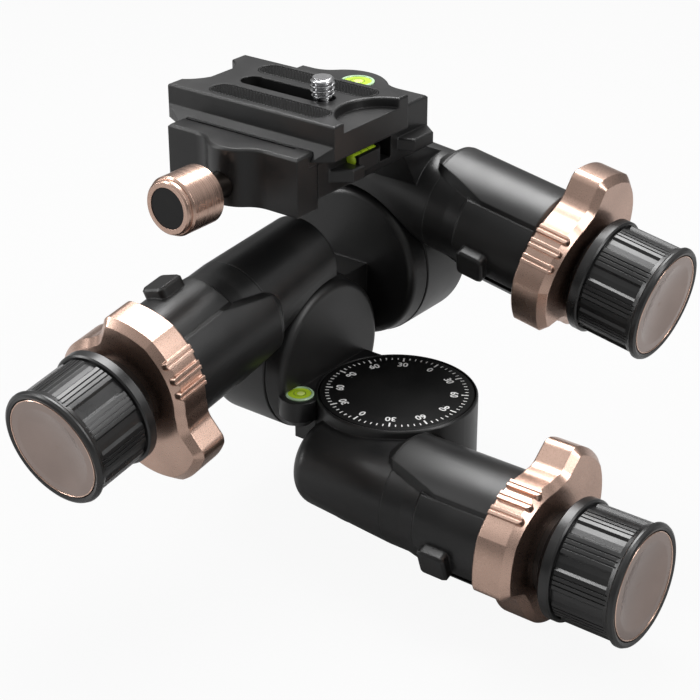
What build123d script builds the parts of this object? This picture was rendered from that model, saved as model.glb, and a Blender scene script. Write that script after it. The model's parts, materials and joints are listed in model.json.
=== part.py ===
from build123d import *
from math import atan2, cos, degrees, pi, radians, sin
import os

# Geared three-way tripod head with a quick-release clamp and plate, in millimetres.
#
# Frame: the origin is the centre of the tripod seat under the base, +Z runs up the
# pan axis, +X points to the pan knob and -Y to the tilt knob.
# Three worm drives turn the head. Pan turns about Z, tilt about an axis along X and
# roll about an axis along Y. Each worm wheel is fixed to the body below its joint, and
# its worm, sleeve, release ring and knob ride on the body above it.
#
# Barrel coordinates: each knob barrel is made with s = Z, from the knob's outer face
# inward. Angles about it start at "up" and grow towards the right, as seen from the knob.

# ---------- Fits ----------
SEAT = 0.02            # radial clearance of a piece that stays put in its hole
RUN = 0.05             # radial clearance of a shaft that turns or slides
SEAM = 0.3             # gap between two bodies that turn on each other
SLIDE = 0.1            # gap between sliding dovetail faces

# ---------- Worm drives ----------
WORM_LEAD = 3.0        # one start, so lead and axial pitch are the same
WORM_PITCH_R = 4.68
ADDENDUM = 0.95
DEDENDUM = 1.25
FLANK_DEG = 20.0
BACKLASH = 0.5         # measured along the pitch line
WHEEL_WIDTH = 9.0
PAN_TEETH = 30
SWING_TEETH = 40       # tilt and roll
THREAD_FRONT = 7.4     # thread length from the mesh point towards the knob
THREAD_BACK = 5.4      # and away from it

# ---------- Base and pan ----------
BASE_LIP = 0.2         # how far the base plate stands out past the pan body
BASE_T = 3.5
BASE_EDGE_R = 1.2
PAN_BODY_R = 21.3
DIAL_BORDER = 0.9      # pan body's rim round the dial
DIAL_T = 1.4
DIAL_TOP = 30.0
DIAL_RIM = 0.3         # gap round the dial
PAN_WORM_Z = 14.8
SPINDLE_R = 8.0
SPINDLE_HUB_R = 11.6
PAN_BUSH_R = 10.0
PAN_BUSH_H = 5.5
TRIPOD_HOLE_R = 3.97   # 3/8-16 socket, at the thread's crests
TRIPOD_BUSH_R = 7.0
TRIPOD_BUSH_H = 9.0
BASE_SCREW_R = 1.2
BASE_SCREW_HEAD_R = 2.1
BASE_SCREW_RING_R = 9.3
BASE_SCREW_COUNT = 4

# ---------- Swing joints, tilt and roll ----------
TILT_AXIS_Z = 33.8
TILT_WHEEL_X = -34.2
TILT_BODY_R = 21.6
ROLL_AXIS_Z = 49.0
ROLL_WHEEL_Y = 37.2
ROLL_BODY_R = 22.5
FLANGE_STEP = 0.25     # how much smaller a flange is than its housing
FLANGE_T = 5.4
FLANGE_EDGE_R = 2.2
FLANGE_DRAFT = 1.0     # how much smaller the flange's outer face is
HOUSING_FRONT = 7.0    # from wheel mid-plane to the housing's open rim
HOUSING_WALL = 4.0     # bearing wall behind the wheel
HOUSING_RECESS = 3.8   # nut recess behind the bearing wall
AXLE_R = 7.0
SWING_BUSH_R = 9.0
NUT_R = 10.4
NUT_T = 2.0
COVER_R = 12.5
COVER_T = 1.2
WHEEL_CLEARANCE = 0.5
WEB_TOP = 50.0         # web between the tilt housing and the roll flange
WEB_INSET = 2.0
WEB_SEAM_INSET = 1.2

# ---------- Barrels ----------
PAN_REACH = 85.3       # knob face to mesh point, along each barrel
TILT_REACH = 87.4
ROLL_REACH = 88.0
PAN_SEAM = 18.3        # sleeve's back seam to mesh point
TILT_SEAM = 20.4
ROLL_SEAM = 21.0
BARREL_DROOP = 10.0    # tilt and roll barrels hang this many degrees at the knob
ROOT_R = 13.4          # tube radius at the seam with the sleeve
ROOT_END_R = 11.5
PAN_TUBE_PAST_MESH = 12.7
SWING_TUBE_PAST_MESH = 8.6
TUBE_END_FILLET = 0.8
PAN_END_FILLET = 5.0
WORM_BORE_R = 6.1
SHAFT_R = 4.0
JOURNAL_R = 2.8
END_BUSH_R = 4.6
END_BUSH_L = 2.2
BUSH_L = 6.0
FRONT_BUSH_S = 24.0
REAR_BUSH_BACK = 9.0   # front of the rear bush to the seam
SPIGOT_R = 9.0
SPIGOT_L = 4.0

# ---------- Knob ----------
KNOB_FLANGE_R = 15.4
KNOB_RIM_S = 1.4       # back of the front rim
KNOB_GRIP_R = 14.6
KNOB_GRIP_S = 3.0      # the grip starts here
KNOB_NECK_S = 16.6     # and ends at a narrow neck in front of the back flange
KNOB_FLANGE_S = 17.1
KNOB_COLLAR_S = 20.3
KNOB_BACK_S = 22.0
KNOB_BACK_R = 12.0
PAN_GRIP_DEG = 29.5    # middle of one grooved group
TILT_GRIP_DEG = 20.0
ROLL_GRIP_DEG = 29.5
FLUTE_COUNT = 10
FLUTE_DEG = 19.0       # width at the surface of the grip
FLUTE_FLOOR_DEG = 12.0
FLUTE_DEPTH = 0.6
GROOVE_COUNT = 3       # fine grooves between two flutes
GROOVE_PITCH_DEG = 4.8
GROOVE_W = 0.35
GROOVE_DEPTH = 0.4
INLAY_R = 13.5
INLAY_DEPTH = 2.6
INLAY_DISH = 1.9       # depth of its dish, and of its flat rim, behind the knob's face
INLAY_FACE = 0.35
INLAY_RIM = 2.4        # width of the inlay's flat rim

# ---------- Release ring: angles of a lobe, from the foot of its steep side ----------
PAN_RING_DEG = 4.1     # where the first lobe's foot stands at rest
TILT_RING_DEG = 98.9
ROLL_RING_DEG = -22.7
RING_FRONT_S = 24.2
RING_BACK_S = 33.9
RING_CHAMFER = 1.8
RING_BACK_CHAMFER = 0.4
LOBE_COUNT = 3
LOBE_R = 23.7
VALLEY_R = 17.9
CREST_DEG = 13.7       # the steep side ends
BROW_DEG = 49.8        # the long slope starts
HEEL_DEG = 105.7       # and ends
FOOT_FILLET = 4.0
CREST_FILLET = 3.0
HEEL_FILLET = 6.0
RING_OFFSET = 2.26     # from the barrel's axis to the centre of the lobes
RING_OFFSET_DEG = 42.0
RIDGE_LOBE = 2         # the one lobe that carries the ridges
RIDGE_MID_DEG = 77.0
RIDGE_COUNT = 3
RIDGE_PITCH_DEG = 11.0
RIDGE_W = 2.3
RIDGE_H = 0.9
RIDGE_ROOT = 2.6       # how deep a ridge is rooted in the ring
RIDGE_SETBACK = 0.5
RIDGE_GROOVE_W = 0.5
RIDGE_GROOVE_D = 0.35
ROLL_RING_SHIFT = -1.6 # the roll ring is drawn towards its knob

# ---------- Sleeve ----------
NOSE_R = 10.5
NOSE_S = 22.6
SLEEVE_S = 34.4
SLEEVE_CORE_R = 14.2
SLEEVE_EDGE = 0.7      # chamfer round the sleeve's front
STRAIGHT_BACK = 15.0   # end of the straight part, before the seam
TAPER_BACK = 6.0       # end of the taper, before the seam
HOOD_R = 15.9
HOOD_HALF_W = 11.4     # half width of the hood at its front
HOOD_BACK_HALF_W = 7.9
HOOD_TAIL_HALF_W = 3.0
HOOD_TAIL_L = 4.0      # from the seam to the end of the hood's tail
PANEL_R = 15.2
PANEL_TOP = 7.8        # above the axis
PANEL_BOTTOM = 9.8     # below the axis
PANEL_BACK = 10.4      # back end of a side panel, before the seam
PANEL_KINK = 20.3      # where its top edge starts to fall, before the seam
PANEL_BACK_TOP = 2.5   # above the axis, at the back end
BELLY_R = 15.1
LUG_DEG = 108.5
LUG_R = 17.7
LUG_W = 8.0
LUG_BACK = 22.2        # front of a lug, before the seam
LUG_L = 8.2
LUG_ROUND = 1.6
SPRING_R = 12.6
SPRING_WIRE_R = 0.4
SPRING_TURNS = 3
SPRING_POCKET = 3.4    # depth of the spring's pocket in the sleeve
SPRING_POCKET_HALF_W = 0.8

# ---------- Level in the tilt flange ----------
LEVEL_DEG = 219.8      # direction of the level from the pan axis
LEVEL_WALL = 0.3       # between the vial and the pan body
LEVEL_BOSS_R = 5.5
LEVEL_BOSS_H = 8.0
LEVEL_TOP = 29.7
VIAL_R = 3.8
VIAL_DEPTH = 3.0
LEVEL_BOSS_CHAMFER = 2.5
NECK_HALF_W = 14.7     # half width of the neck between pan body and tilt flange
NECK_UNDERCUT = 3.0    # how far its underside is above the flange's lowest point

# ---------- Clamp ----------
CLAMP_LEFT_X = -55.0
CLAMP_RIGHT_X = -13.2
SLAB_TOP = 95.15
SLAB_BOTTOM = 86.0
SLAB_FRONT_Y = -15.6
FIXED_JAW_Y = 30.5
FIXED_JAW_TOP = 100.2
BACK_BULGE_X = -36.5
BACK_BULGE_R = 12.0
BACK_BULGE_H = 6.2
BULGE_R = 9.0
BULGE_H = 4.4
BULGE_FILLET = 8.0
JAW_FRONT_Y = -23.8
JAW_BACK_Y = -15.9
JAW_TOP = 98.8
JAW_BOTTOM = 83.5
JAW_GROOVE_Y = -18.4
JAW_GROOVE_RIGHT_X = -18.3
JAW_GROOVE_D = 0.8
JAW_GROOVE_W = 1.0
BOSS_HALF_W = 9.0      # thread boss under the slab
BOSS_BACK_Y = 9.0
BOSS_BOTTOM = 84.2
TAB_X = -8.4           # right end of the front tab
TAB_TOP = 92.3
TAB_BOTTOM = 89.0
TAB_ROOT = 6.0         # how far the tabs reach under the slab
TAB_CORNER_Y = -11.4
TAB_FRONT_Y = -7.5
TAB_BACK_Y = -3.0
ARM_X = -8.8           # right end of the back arm
ARM_ROOT_Y = 15.0
ARM_Y = 18.8
ARM_BACK_Y = 27.0
LEVEL_BAY_DEPTH = 5.0  # bay in the slab's end behind the side level
LEVEL_BAY_Y = 14.5
HOLDER_X = -9.4
HOLDER_BACK_Y = 7.0
HOLDER_BOTTOM = 90.0
HOLDER_TOP = 94.2
HOLDER_CORNER_R = 3.5
SIDE_VIAL_X = -12.0
SIDE_VIAL_Z = 93.0
SIDE_VIAL_R = 1.6
SIDE_VIAL_FRONT_Y = -4.5
SIDE_VIAL_BACK_Y = 5.5
SHAFT_Z = 88.7
CLAMP_SHAFT_R = 3.4
CLAMP_THREAD_R = 2.9
CLAMP_KNOB_R = 7.6
CLAMP_KNOB_RIM_R = 6.9
CLAMP_KNOB_FACE_Y = -47.3
CLAMP_KNOB_BACK_Y = -34.6
CLAMP_CAP_R = 5.3
CLAMP_CAP_DEPTH = 1.0
PIN_R = 2.0
PIN_SPREAD = 13.0
PIN_DEPTH = 14.0
PIN_SEAT = 5.0         # how deep a pin sits in the jaw
PIN_RISE = 2.0         # pins above the clamp shaft
BRACKET_RIGHT_X = -13.2
BRACKET_LEFT_X = -51.0
BRACKET_FOOT_Z = 58.0
BRACKET_KINK_Z = 69.2
BRACKET_REACH_Y = 20.2
BRACKET_BACK_Z = 77.0
CLAMP_SCREW_R = 1.6
CLAMP_SCREW_HEAD_R = 3.0
CLAMP_SCREW_SPREAD = 10.0
CLAMP_SCREW_Y = 24.2
ROUND_LEVEL_Y = 27.9
ROUND_LEVEL_R = 4.6

# ---------- Quick-release plate ----------
PLATE_LEFT_X = -62.5
PLATE_RIGHT_X = -8.5
PLATE_TOP = 105.6
PLATE_TOP_HALF_W = 15.2
PLATE_HALF_W = 19.0    # across the dovetail
PLATE_FLARE_Z = 100.3  # where the 45 degree flare starts
PLATE_BOTTOM = 95.2
PLATE_END_BOTTOM = 96.6  # underside of the ends, outside the jaws
PLATE_EDGE_R = 0.6
SCOOP_R = 11.8         # round scoop in each end
SCOOP_FLOOR = 103.0
LEFT_SCOOP_X = -57.0   # deepest point of each scoop
RIGHT_SCOOP_X = -17.0
SLOT_LEFT_X = -50.0
SLOT_HALF_W = 3.3
SLOT_HEAD_HALF_W = 6.6
SLOT_HEAD_TOP = 99.4
PAD_LEFT_X = -52.0
PAD_RIGHT_X = -14.5
PAD_MID_Y = 9.6
PAD_W = 7.6
PAD_DEPTH = 1.0
PAD_PROUD = 0.3
SCREW_X = -24.0
SCREW_R = 3.1
SCREW_TOP = 111.2
SCREW_NECK_R = 2.4     # plain neck where the screw passes the plate
SCREW_NECK_RISE = 0.6  # and how far it stands out of the plate
SCREW_HEAD_R = 6.2
SCREW_HEAD_T = 3.0
SCREW_SLOT_HALF_W = 0.6
SCREW_SLOT_D = 1.0

# ---------- Worked out ----------
PAN_WHEEL_R = PAN_TEETH * WORM_LEAD / (2 * pi)
SWING_WHEEL_R = SWING_TEETH * WORM_LEAD / (2 * pi)
PAN_CENTRES = PAN_WHEEL_R + WORM_PITCH_R
SWING_CENTRES = SWING_WHEEL_R + WORM_PITCH_R
LEAD_ANGLE = degrees(atan2(WORM_LEAD, 2 * pi * WORM_PITCH_R))
HOUSING_BACK = WHEEL_WIDTH / 2 + WHEEL_CLEARANCE
HOUSING_END = HOUSING_BACK + HOUSING_WALL + HOUSING_RECESS
FLANGE_SEAM = HOUSING_FRONT + SEAM
BASE_R = PAN_BODY_R + BASE_LIP
DIAL_R = PAN_BODY_R - DIAL_BORDER
TILT_FLANGE_R = TILT_BODY_R - FLANGE_STEP
ROLL_FLANGE_R = ROLL_BODY_R - FLANGE_STEP
PAN_SEAM_S = PAN_REACH - PAN_SEAM
TILT_SEAM_S = TILT_REACH - TILT_SEAM
ROLL_SEAM_S = ROLL_REACH - ROLL_SEAM
LEVEL_REACH = PAN_BODY_R + LEVEL_WALL + VIAL_R
LEVEL_X = LEVEL_REACH * cos(radians(LEVEL_DEG))
LEVEL_Y = LEVEL_REACH * sin(radians(LEVEL_DEG))
SLOT_RIGHT_X = SCREW_X + SLOT_HALF_W + RUN
ROLL_AXIS_X = TILT_WHEEL_X
CLAMP_X = ROLL_AXIS_X


# ---------- Drawing helpers ----------
def turned(*points):
    """Solid of revolution about Z from (radius, height) points."""
    outline = Plane.XZ * Polyline(*points, close=True)
    return revolve(make_face(outline), Axis.Z)


def ring(outer_r, inner_r, low, high):
    return turned((inner_r, low), (outer_r, low), (outer_r, high), (inner_r, high))


def rod(radius, low, high):
    return Pos(0, 0, low) * extrude(Circle(radius), high - low)


def block(low, high):
    size = [b - a for a, b in zip(low, high)]
    return Pos(*low) * Box(*size, align=(Align.MIN, Align.MIN, Align.MIN))


def prism(points, plane, low, high):
    """Straight prism over a polygon drawn on a plane, from low to high along its normal."""
    outline = plane.offset(low) * Polyline(*points, close=True)
    return extrude(make_face(outline), high - low, dir=plane.z_dir)


def mirrored_points(points):
    """Points on one side of the x = 0 line, then their mirror images on the other."""
    return list(points) + [(-x, y) for x, y in reversed(points)]


# ---------- Frames ----------
DROOP_COS = cos(radians(BARREL_DROOP))
DROOP_SIN = sin(radians(BARREL_DROOP))
PAN_CENTRE = Vector(0, 0, PAN_WORM_Z)
TILT_CENTRE = Vector(TILT_WHEEL_X, 0, TILT_AXIS_Z)
ROLL_CENTRE = Vector(ROLL_AXIS_X, ROLL_WHEEL_Y, ROLL_AXIS_Z)


def barrel_frame(wheel_centre, inward, up, to_worm, centres, reach):
    """Plane at a knob's outer face, with Z inward and Y down, that carries one barrel."""
    origin = wheel_centre + to_worm * centres - inward * reach
    return Plane(origin=origin, x_dir=inward.cross(up), z_dir=inward)


def wheel_frame(wheel_centre, inward, to_worm):
    """Plane at a wheel's centre, with X towards its worm and Y along the barrel."""
    return Plane(origin=wheel_centre, x_dir=to_worm, z_dir=to_worm.cross(inward))


PAN_INWARD = Vector(-1, 0, 0)
PAN_TO_WORM = Vector(0, -1, 0)
TILT_INWARD = Vector(0, DROOP_COS, DROOP_SIN)
TILT_UP = Vector(0, -DROOP_SIN, DROOP_COS)
ROLL_INWARD = Vector(-DROOP_COS, 0, DROOP_SIN)
ROLL_UP = Vector(DROOP_SIN, 0, DROOP_COS)

PAN_BARREL = barrel_frame(
    PAN_CENTRE, PAN_INWARD, Vector(0, 0, 1), PAN_TO_WORM, PAN_CENTRES, PAN_REACH)
TILT_BARREL = barrel_frame(TILT_CENTRE, TILT_INWARD, TILT_UP, TILT_UP, SWING_CENTRES, TILT_REACH)
ROLL_BARREL = barrel_frame(ROLL_CENTRE, ROLL_INWARD, ROLL_UP, ROLL_UP, SWING_CENTRES, ROLL_REACH)
PAN_WHEEL_FRAME = wheel_frame(PAN_CENTRE, PAN_INWARD, PAN_TO_WORM)
TILT_WHEEL_FRAME = wheel_frame(TILT_CENTRE, TILT_INWARD, TILT_UP)
ROLL_WHEEL_FRAME = wheel_frame(ROLL_CENTRE, ROLL_INWARD, ROLL_UP)
TILT_DRIVE = Plane(origin=TILT_CENTRE, x_dir=(0, 1, 0), z_dir=(-1, 0, 0))
ROLL_DRIVE = Plane(origin=ROLL_CENTRE, x_dir=(1, 0, 0), z_dir=(0, 1, 0))
SIDE_PLANE = Plane(origin=(0, 0, 0), x_dir=(0, 0, 1), z_dir=(1, 0, 0))
CLAMP_KNOB_FRAME = Plane(origin=(CLAMP_X, CLAMP_KNOB_FACE_Y, SHAFT_Z), x_dir=(1, 0, 0), z_dir=(0, 1, 0))


# ---------- Worm shaft and wheel ----------
def worm_shaft(reach, wheel_deg):
    """Shaft with its thread. wheel_deg is where the wheel lies about the barrel's axis."""
    start = reach - THREAD_FRONT
    end = reach + THREAD_BACK
    core_r = WORM_PITCH_R - DEDENDUM
    neck_s = start - 2.0
    shaft = turned(
        (0, INLAY_DEPTH + 1), (SHAFT_R, INLAY_DEPTH + 1), (SHAFT_R, neck_s), (core_r, start - 1.0),
        (core_r, end + 0.2), (JOURNAL_R, end + 0.2), (JOURNAL_R, end + END_BUSH_L + 0.2),
        (0, end + END_BUSH_L + 0.2),
    )
    slope = WORM_LEAD / (2 * pi * WORM_PITCH_R)
    half_pitch_w = WORM_LEAD / 4 - BACKLASH / 4
    flank = sin(radians(FLANK_DEG)) / cos(radians(FLANK_DEG))
    root = core_r - 0.4 - WORM_PITCH_R
    half_tip = half_pitch_w - ADDENDUM * flank
    half_root = half_pitch_w - root * flank
    tooth = Polyline(
        (root, -half_root), (ADDENDUM, -half_tip), (ADDENDUM, half_tip), (root, half_root), close=True)
    path = Helix(WORM_LEAD, THREAD_FRONT + THREAD_BACK, WORM_PITCH_R)
    across = Plane(origin=(WORM_PITCH_R, 0, 0), x_dir=(1, 0, 0), z_dir=(0, 1, slope))
    thread = sweep(make_face(across * tooth), path, is_frenet=True)
    phase = wheel_deg - 360 * THREAD_FRONT / WORM_LEAD
    trim = rod(WORM_PITCH_R + ADDENDUM + 1, start, end)
    return Rot(0, 0, phase) * (shaft + (Pos(0, 0, start) * thread & trim))


def worm_wheel(teeth, bore_r, hub_r, hub_low):
    """Wheel about Z with a tooth gap on +X. The gaps slant with the worm's lead."""
    pitch_r = teeth * WORM_LEAD / (2 * pi)
    blank = ring(pitch_r + ADDENDUM, bore_r, -WHEEL_WIDTH / 2, WHEEL_WIDTH / 2)
    flank = sin(radians(FLANK_DEG)) / cos(radians(FLANK_DEG))
    half_pitch_w = WORM_LEAD / 4 + BACKLASH / 4
    over = ADDENDUM + 0.6
    half_top = half_pitch_w + over * flank
    half_floor = half_pitch_w - DEDENDUM * flank
    gap = Polyline(
        (-DEDENDUM, -half_floor), (over, -half_top), (over, half_top), (-DEDENDUM, half_floor), close=True)
    face = Plane(origin=(pitch_r, 0, 0), x_dir=(1, 0, 0), z_dir=(0, 0, 1)) * gap
    slot = extrude(make_face(face), WHEEL_WIDTH, both=True)
    slot = Pos(pitch_r, 0, 0) * Rot(-LEAD_ANGLE, 0, 0) * Pos(-pitch_r, 0, 0) * slot
    wheel = blank - [Rot(0, 0, 360 * n / teeth) * slot for n in range(teeth)]
    if hub_r:
        wheel += ring(hub_r, bore_r, hub_low, -WHEEL_WIDTH / 2)
    return wheel


# ---------- Knob barrel, in barrel coordinates ----------
def knob_grip(first_deg):
    """Knob with flutes and fine grooves. first_deg is the middle of one grooved group."""
    bore = SHAFT_R + SEAT
    body = turned(
        (bore, INLAY_DEPTH), (INLAY_R, INLAY_DEPTH), (INLAY_R + 0.25, 0.3), (KNOB_FLANGE_R - 0.9, 0),
        (KNOB_FLANGE_R - 0.3, 0.3), (KNOB_FLANGE_R, 0.9), (KNOB_FLANGE_R, KNOB_RIM_S),
        (KNOB_GRIP_R + 0.3, KNOB_RIM_S + 0.5), (KNOB_GRIP_R, KNOB_GRIP_S), (KNOB_GRIP_R, KNOB_NECK_S),
        (KNOB_GRIP_R - FLUTE_DEPTH, KNOB_NECK_S), (KNOB_GRIP_R - FLUTE_DEPTH, KNOB_FLANGE_S),
        (KNOB_FLANGE_R - 0.4, KNOB_FLANGE_S), (KNOB_FLANGE_R, KNOB_FLANGE_S + 0.4),
        (KNOB_FLANGE_R, KNOB_COLLAR_S - 0.6), (KNOB_FLANGE_R - 0.6, KNOB_COLLAR_S),
        (KNOB_BACK_R, KNOB_BACK_S), (bore, KNOB_BACK_S),
    )
    groove = block(
        (KNOB_GRIP_R - GROOVE_DEPTH, -GROOVE_W / 2, KNOB_GRIP_S - 0.6),
        (KNOB_GRIP_R + 1, GROOVE_W / 2, KNOB_NECK_S))
    cuts = []
    for flute_number in range(FLUTE_COUNT):
        turn = first_deg - 90 + flute_number * 360 / FLUTE_COUNT
        cuts.append(Rot(0, 0, turn + 180 / FLUTE_COUNT) * flute())
        for groove_number in range(GROOVE_COUNT):
            offset = (groove_number - (GROOVE_COUNT - 1) / 2) * GROOVE_PITCH_DEG
            cuts.append(Rot(0, 0, turn + offset) * groove)
    return body - cuts


def flute():
    """Shallow channel along the grip, centred on +X, with sloping sides."""
    top_r, floor_r = KNOB_GRIP_R + 0.3, KNOB_GRIP_R - FLUTE_DEPTH
    top, floor = radians(FLUTE_DEG / 2), radians(FLUTE_FLOOR_DEG / 2)
    outline = [
        (floor_r * cos(floor), -floor_r * sin(floor)), (floor_r, 0),
        (floor_r * cos(floor), floor_r * sin(floor)),
        (top_r * cos(top), top_r * sin(top)), (top_r + 1, 0), (top_r * cos(top), -top_r * sin(top)),
    ]
    return prism(outline, Plane.XY, KNOB_GRIP_S, KNOB_NECK_S)


def knob_inlay():
    """Disc with a flat rim and a spherical dish, let into the knob's end."""
    rim = INLAY_R - INLAY_RIM
    deep = INLAY_DISH - INLAY_FACE
    dish_r = (rim ** 2 + deep ** 2) / (2 * deep)
    disc = rod(INLAY_R - SEAT, INLAY_FACE, INLAY_DEPTH)
    return disc - Pos(0, 0, INLAY_DISH - dish_r) * Sphere(dish_r)


def polar(deg, radius):
    """Point in the plane across the barrel, at an angle from "up"."""
    return radius * sin(radians(deg)), -radius * cos(radians(deg))


def release_ring(first_deg):
    """Ring with three hooked lobes, one of them ridged, whose centre is off the barrel's axis."""
    edges = []
    corners = []
    for n in range(LOBE_COUNT):
        turn = first_deg + n * 360 / LOBE_COUNT
        foot = polar(turn, VALLEY_R)
        crest = polar(turn + CREST_DEG, LOBE_R)
        brow = polar(turn + BROW_DEG, LOBE_R)
        heel = polar(turn + HEEL_DEG, VALLEY_R)
        next_foot = polar(turn + 360 / LOBE_COUNT, VALLEY_R)
        mid_crest = polar(turn + (CREST_DEG + BROW_DEG) / 2, LOBE_R)
        mid_slope = polar(turn + (BROW_DEG + HEEL_DEG) / 2, (LOBE_R + VALLEY_R) / 2)
        mid_valley = polar(turn + (HEEL_DEG + 360 / LOBE_COUNT) / 2, VALLEY_R)
        edges += [Line(foot, crest), ThreePointArc(crest, mid_crest, brow)]
        edges += [ThreePointArc(brow, mid_slope, heel), ThreePointArc(heel, mid_valley, next_foot)]
        corners += [(foot, FOOT_FILLET), (crest, CREST_FILLET), (heel, HEEL_FILLET)]
    outline = make_face(edges)
    for place, radius in corners:
        outline = fillet(outline.vertices().sort_by_distance(place)[0], radius)
    shape = Pos(0, 0, RING_FRONT_S) * extrude(outline, RING_BACK_S - RING_FRONT_S)
    shape = chamfer(shape.faces().sort_by(Axis.Z)[0].outer_wire().edges(), RING_CHAMFER)
    shape = chamfer(shape.faces().sort_by(Axis.Z)[-1].outer_wire().edges(), RING_BACK_CHAMFER)
    for k in range(RIDGE_COUNT):
        past_foot = RIDGE_MID_DEG + (k - (RIDGE_COUNT - 1) / 2) * RIDGE_PITCH_DEG
        shape += ridge(first_deg + RIDGE_LOBE * 360 / LOBE_COUNT, past_foot)
    shape = Pos(*polar(first_deg + RING_OFFSET_DEG, RING_OFFSET)) * shape
    return shape - rod(NOSE_R + RUN, RING_FRONT_S - 1, RING_BACK_S + 1)


def ridge(turn, past_foot):
    """One grip ridge, square to a lobe's slope, with a fine groove along its middle."""
    fall = (LOBE_R - VALLEY_R) / (HEEL_DEG - BROW_DEG)
    radius = LOBE_R - fall * (past_foot - BROW_DEG)
    lean = degrees(atan2(degrees(fall), radius))
    low, high = RING_FRONT_S + RIDGE_SETBACK, RING_BACK_S - RING_BACK_CHAMFER
    bar = block((-RIDGE_ROOT, -RIDGE_W / 2, low), (RIDGE_H, RIDGE_W / 2, high))
    bar = fillet(bar.edges().filter_by(Axis.X).group_by(Axis.Z)[0], 0.4 * RIDGE_W)
    bar -= block(
        (RIDGE_H - RIDGE_GROOVE_D, -RIDGE_GROOVE_W / 2, low - 1), (RIDGE_H + 1, RIDGE_GROOVE_W / 2, high + 1))
    return Pos(*polar(turn + past_foot, radius)) * Rot(0, 0, turn + past_foot - 90 + lean) * bar


def hood_prism(points):
    """Space above the barrel's axis, bounded in plan by (half width, s) points."""
    return prism(mirrored_points(points), Plane.XZ, 0, 2 * HOOD_R)


def fronted(radius, *back_points):
    """Turned shape with a chamfer round the sleeve's front edge."""
    edge = (radius - SLEEVE_EDGE, SLEEVE_S)
    return turned((0, SLEEVE_S), edge, (radius, SLEEVE_S + SLEEVE_EDGE), *back_points)


def sleeve(seam):
    """Outer sleeve with hood, side panels, belly and two lugs. seam is where it ends."""
    straight = seam - STRAIGHT_BACK
    taper = seam - TAPER_BACK
    panel_end = seam - PANEL_BACK
    kink = seam - PANEL_KINK
    core = fronted(SLEEVE_CORE_R, (SLEEVE_CORE_R, straight), (ROOT_R, taper), (ROOT_R, seam), (0, seam))
    hood = fronted(HOOD_R, (HOOD_R, seam), (0, seam))
    hood &= hood_prism([(HOOD_HALF_W, SLEEVE_S), (HOOD_HALF_W, straight), (HOOD_BACK_HALF_W, seam)])
    panel = fronted(PANEL_R, (PANEL_R, panel_end - 0.8), (PANEL_R - 0.8, panel_end), (0, panel_end))
    panel &= prism(
        [(SLEEVE_S, -PANEL_TOP), (kink, -PANEL_TOP), (panel_end, -PANEL_BACK_TOP), (panel_end, PANEL_BOTTOM),
         (SLEEVE_S, PANEL_BOTTOM)], SIDE_PLANE, -2 * PANEL_R, 2 * PANEL_R)
    belly = fronted(BELLY_R, (BELLY_R, straight), (ROOT_R, taper), (0, taper))
    belly &= block((-2 * BELLY_R, PANEL_BOTTOM, SLEEVE_S), (2 * BELLY_R, 2 * BELLY_R, taper))
    lug_s = seam - LUG_BACK
    lug = block((SLEEVE_CORE_R - 3, -LUG_W / 2, lug_s), (LUG_R, LUG_W / 2, lug_s + LUG_L))
    lug = fillet(lug.edges().filter_by(Axis.X), LUG_ROUND)
    lug = chamfer(lug.faces().sort_by(Axis.X)[-1].edges(), 0.6)
    lugs = [Rot(0, 0, side * LUG_DEG - 90) * lug for side in (1, -1)]
    nose = ring(NOSE_R, WORM_BORE_R, NOSE_S, SLEEVE_S)
    spigot = ring(SPIGOT_R, WORM_BORE_R, seam, seam + SPIGOT_L)
    pocket = ring(
        SPRING_R + SPRING_POCKET_HALF_W, SPRING_R - SPRING_POCKET_HALF_W,
        SLEEVE_S - 1, SLEEVE_S + SPRING_POCKET)
    body = core + [hood, panel, belly] + lugs
    body = body - rod(WORM_BORE_R, SLEEVE_S - 1, seam + 1) - pocket
    return body + nose + spigot


def ring_spring(ring_shift):
    """Return spring between the bottom of the sleeve's pocket and the release ring."""
    low = RING_BACK_S + ring_shift + SEAT + SPRING_WIRE_R
    height = SLEEVE_S + SPRING_POCKET - SEAT - SPRING_WIRE_R - low
    pitch = height / SPRING_TURNS
    path = Helix(pitch, height, SPRING_R)
    slope = pitch / (2 * pi * SPRING_R)
    wire = Plane(origin=(SPRING_R, 0, 0), x_dir=(1, 0, 0), z_dir=(0, 1, slope)) * Circle(SPRING_WIRE_R)
    return Pos(0, 0, low) * sweep(wire, path, is_frenet=True)


def worm_bushes(reach, seam):
    """Two plain bushes in the sleeve and a small one at the end of the worm."""
    outer = WORM_BORE_R - SEAT
    rear_s = seam - REAR_BUSH_BACK
    end_s = reach + THREAD_BACK + 0.3 + END_BUSH_L
    return Compound([
        ring(outer, SHAFT_R + RUN, FRONT_BUSH_S, FRONT_BUSH_S + BUSH_L),
        ring(outer, SHAFT_R + RUN, rear_s, rear_s + BUSH_L),
        ring(END_BUSH_R - SEAT, JOURNAL_R + RUN, end_s - END_BUSH_L + 0.1, end_s - 0.1),
    ])


def root_tube(seam, end_s, end_fillet, turn):
    """Tapered tube from the seam to its closed end, with the tail of the sleeve's hood."""
    tube = turned((0, seam), (ROOT_R, seam), (ROOT_END_R, end_s), (0, end_s))
    tube = fillet(tube.edges().filter_by(GeomType.CIRCLE).sort_by(Axis.Z)[-1], end_fillet)
    tail_s = seam + HOOD_TAIL_L
    tail = turned(
        (0, seam), (HOOD_R, seam), (HOOD_R - 0.2, seam + 0.8), (ROOT_R - 0.4, tail_s), (0, tail_s))
    tail &= hood_prism([
        (HOOD_BACK_HALF_W, seam), (HOOD_BACK_HALF_W - 1.2, (seam + tail_s) / 2), (HOOD_TAIL_HALF_W, tail_s)])
    return tube + Rot(0, 0, turn) * tail


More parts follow.
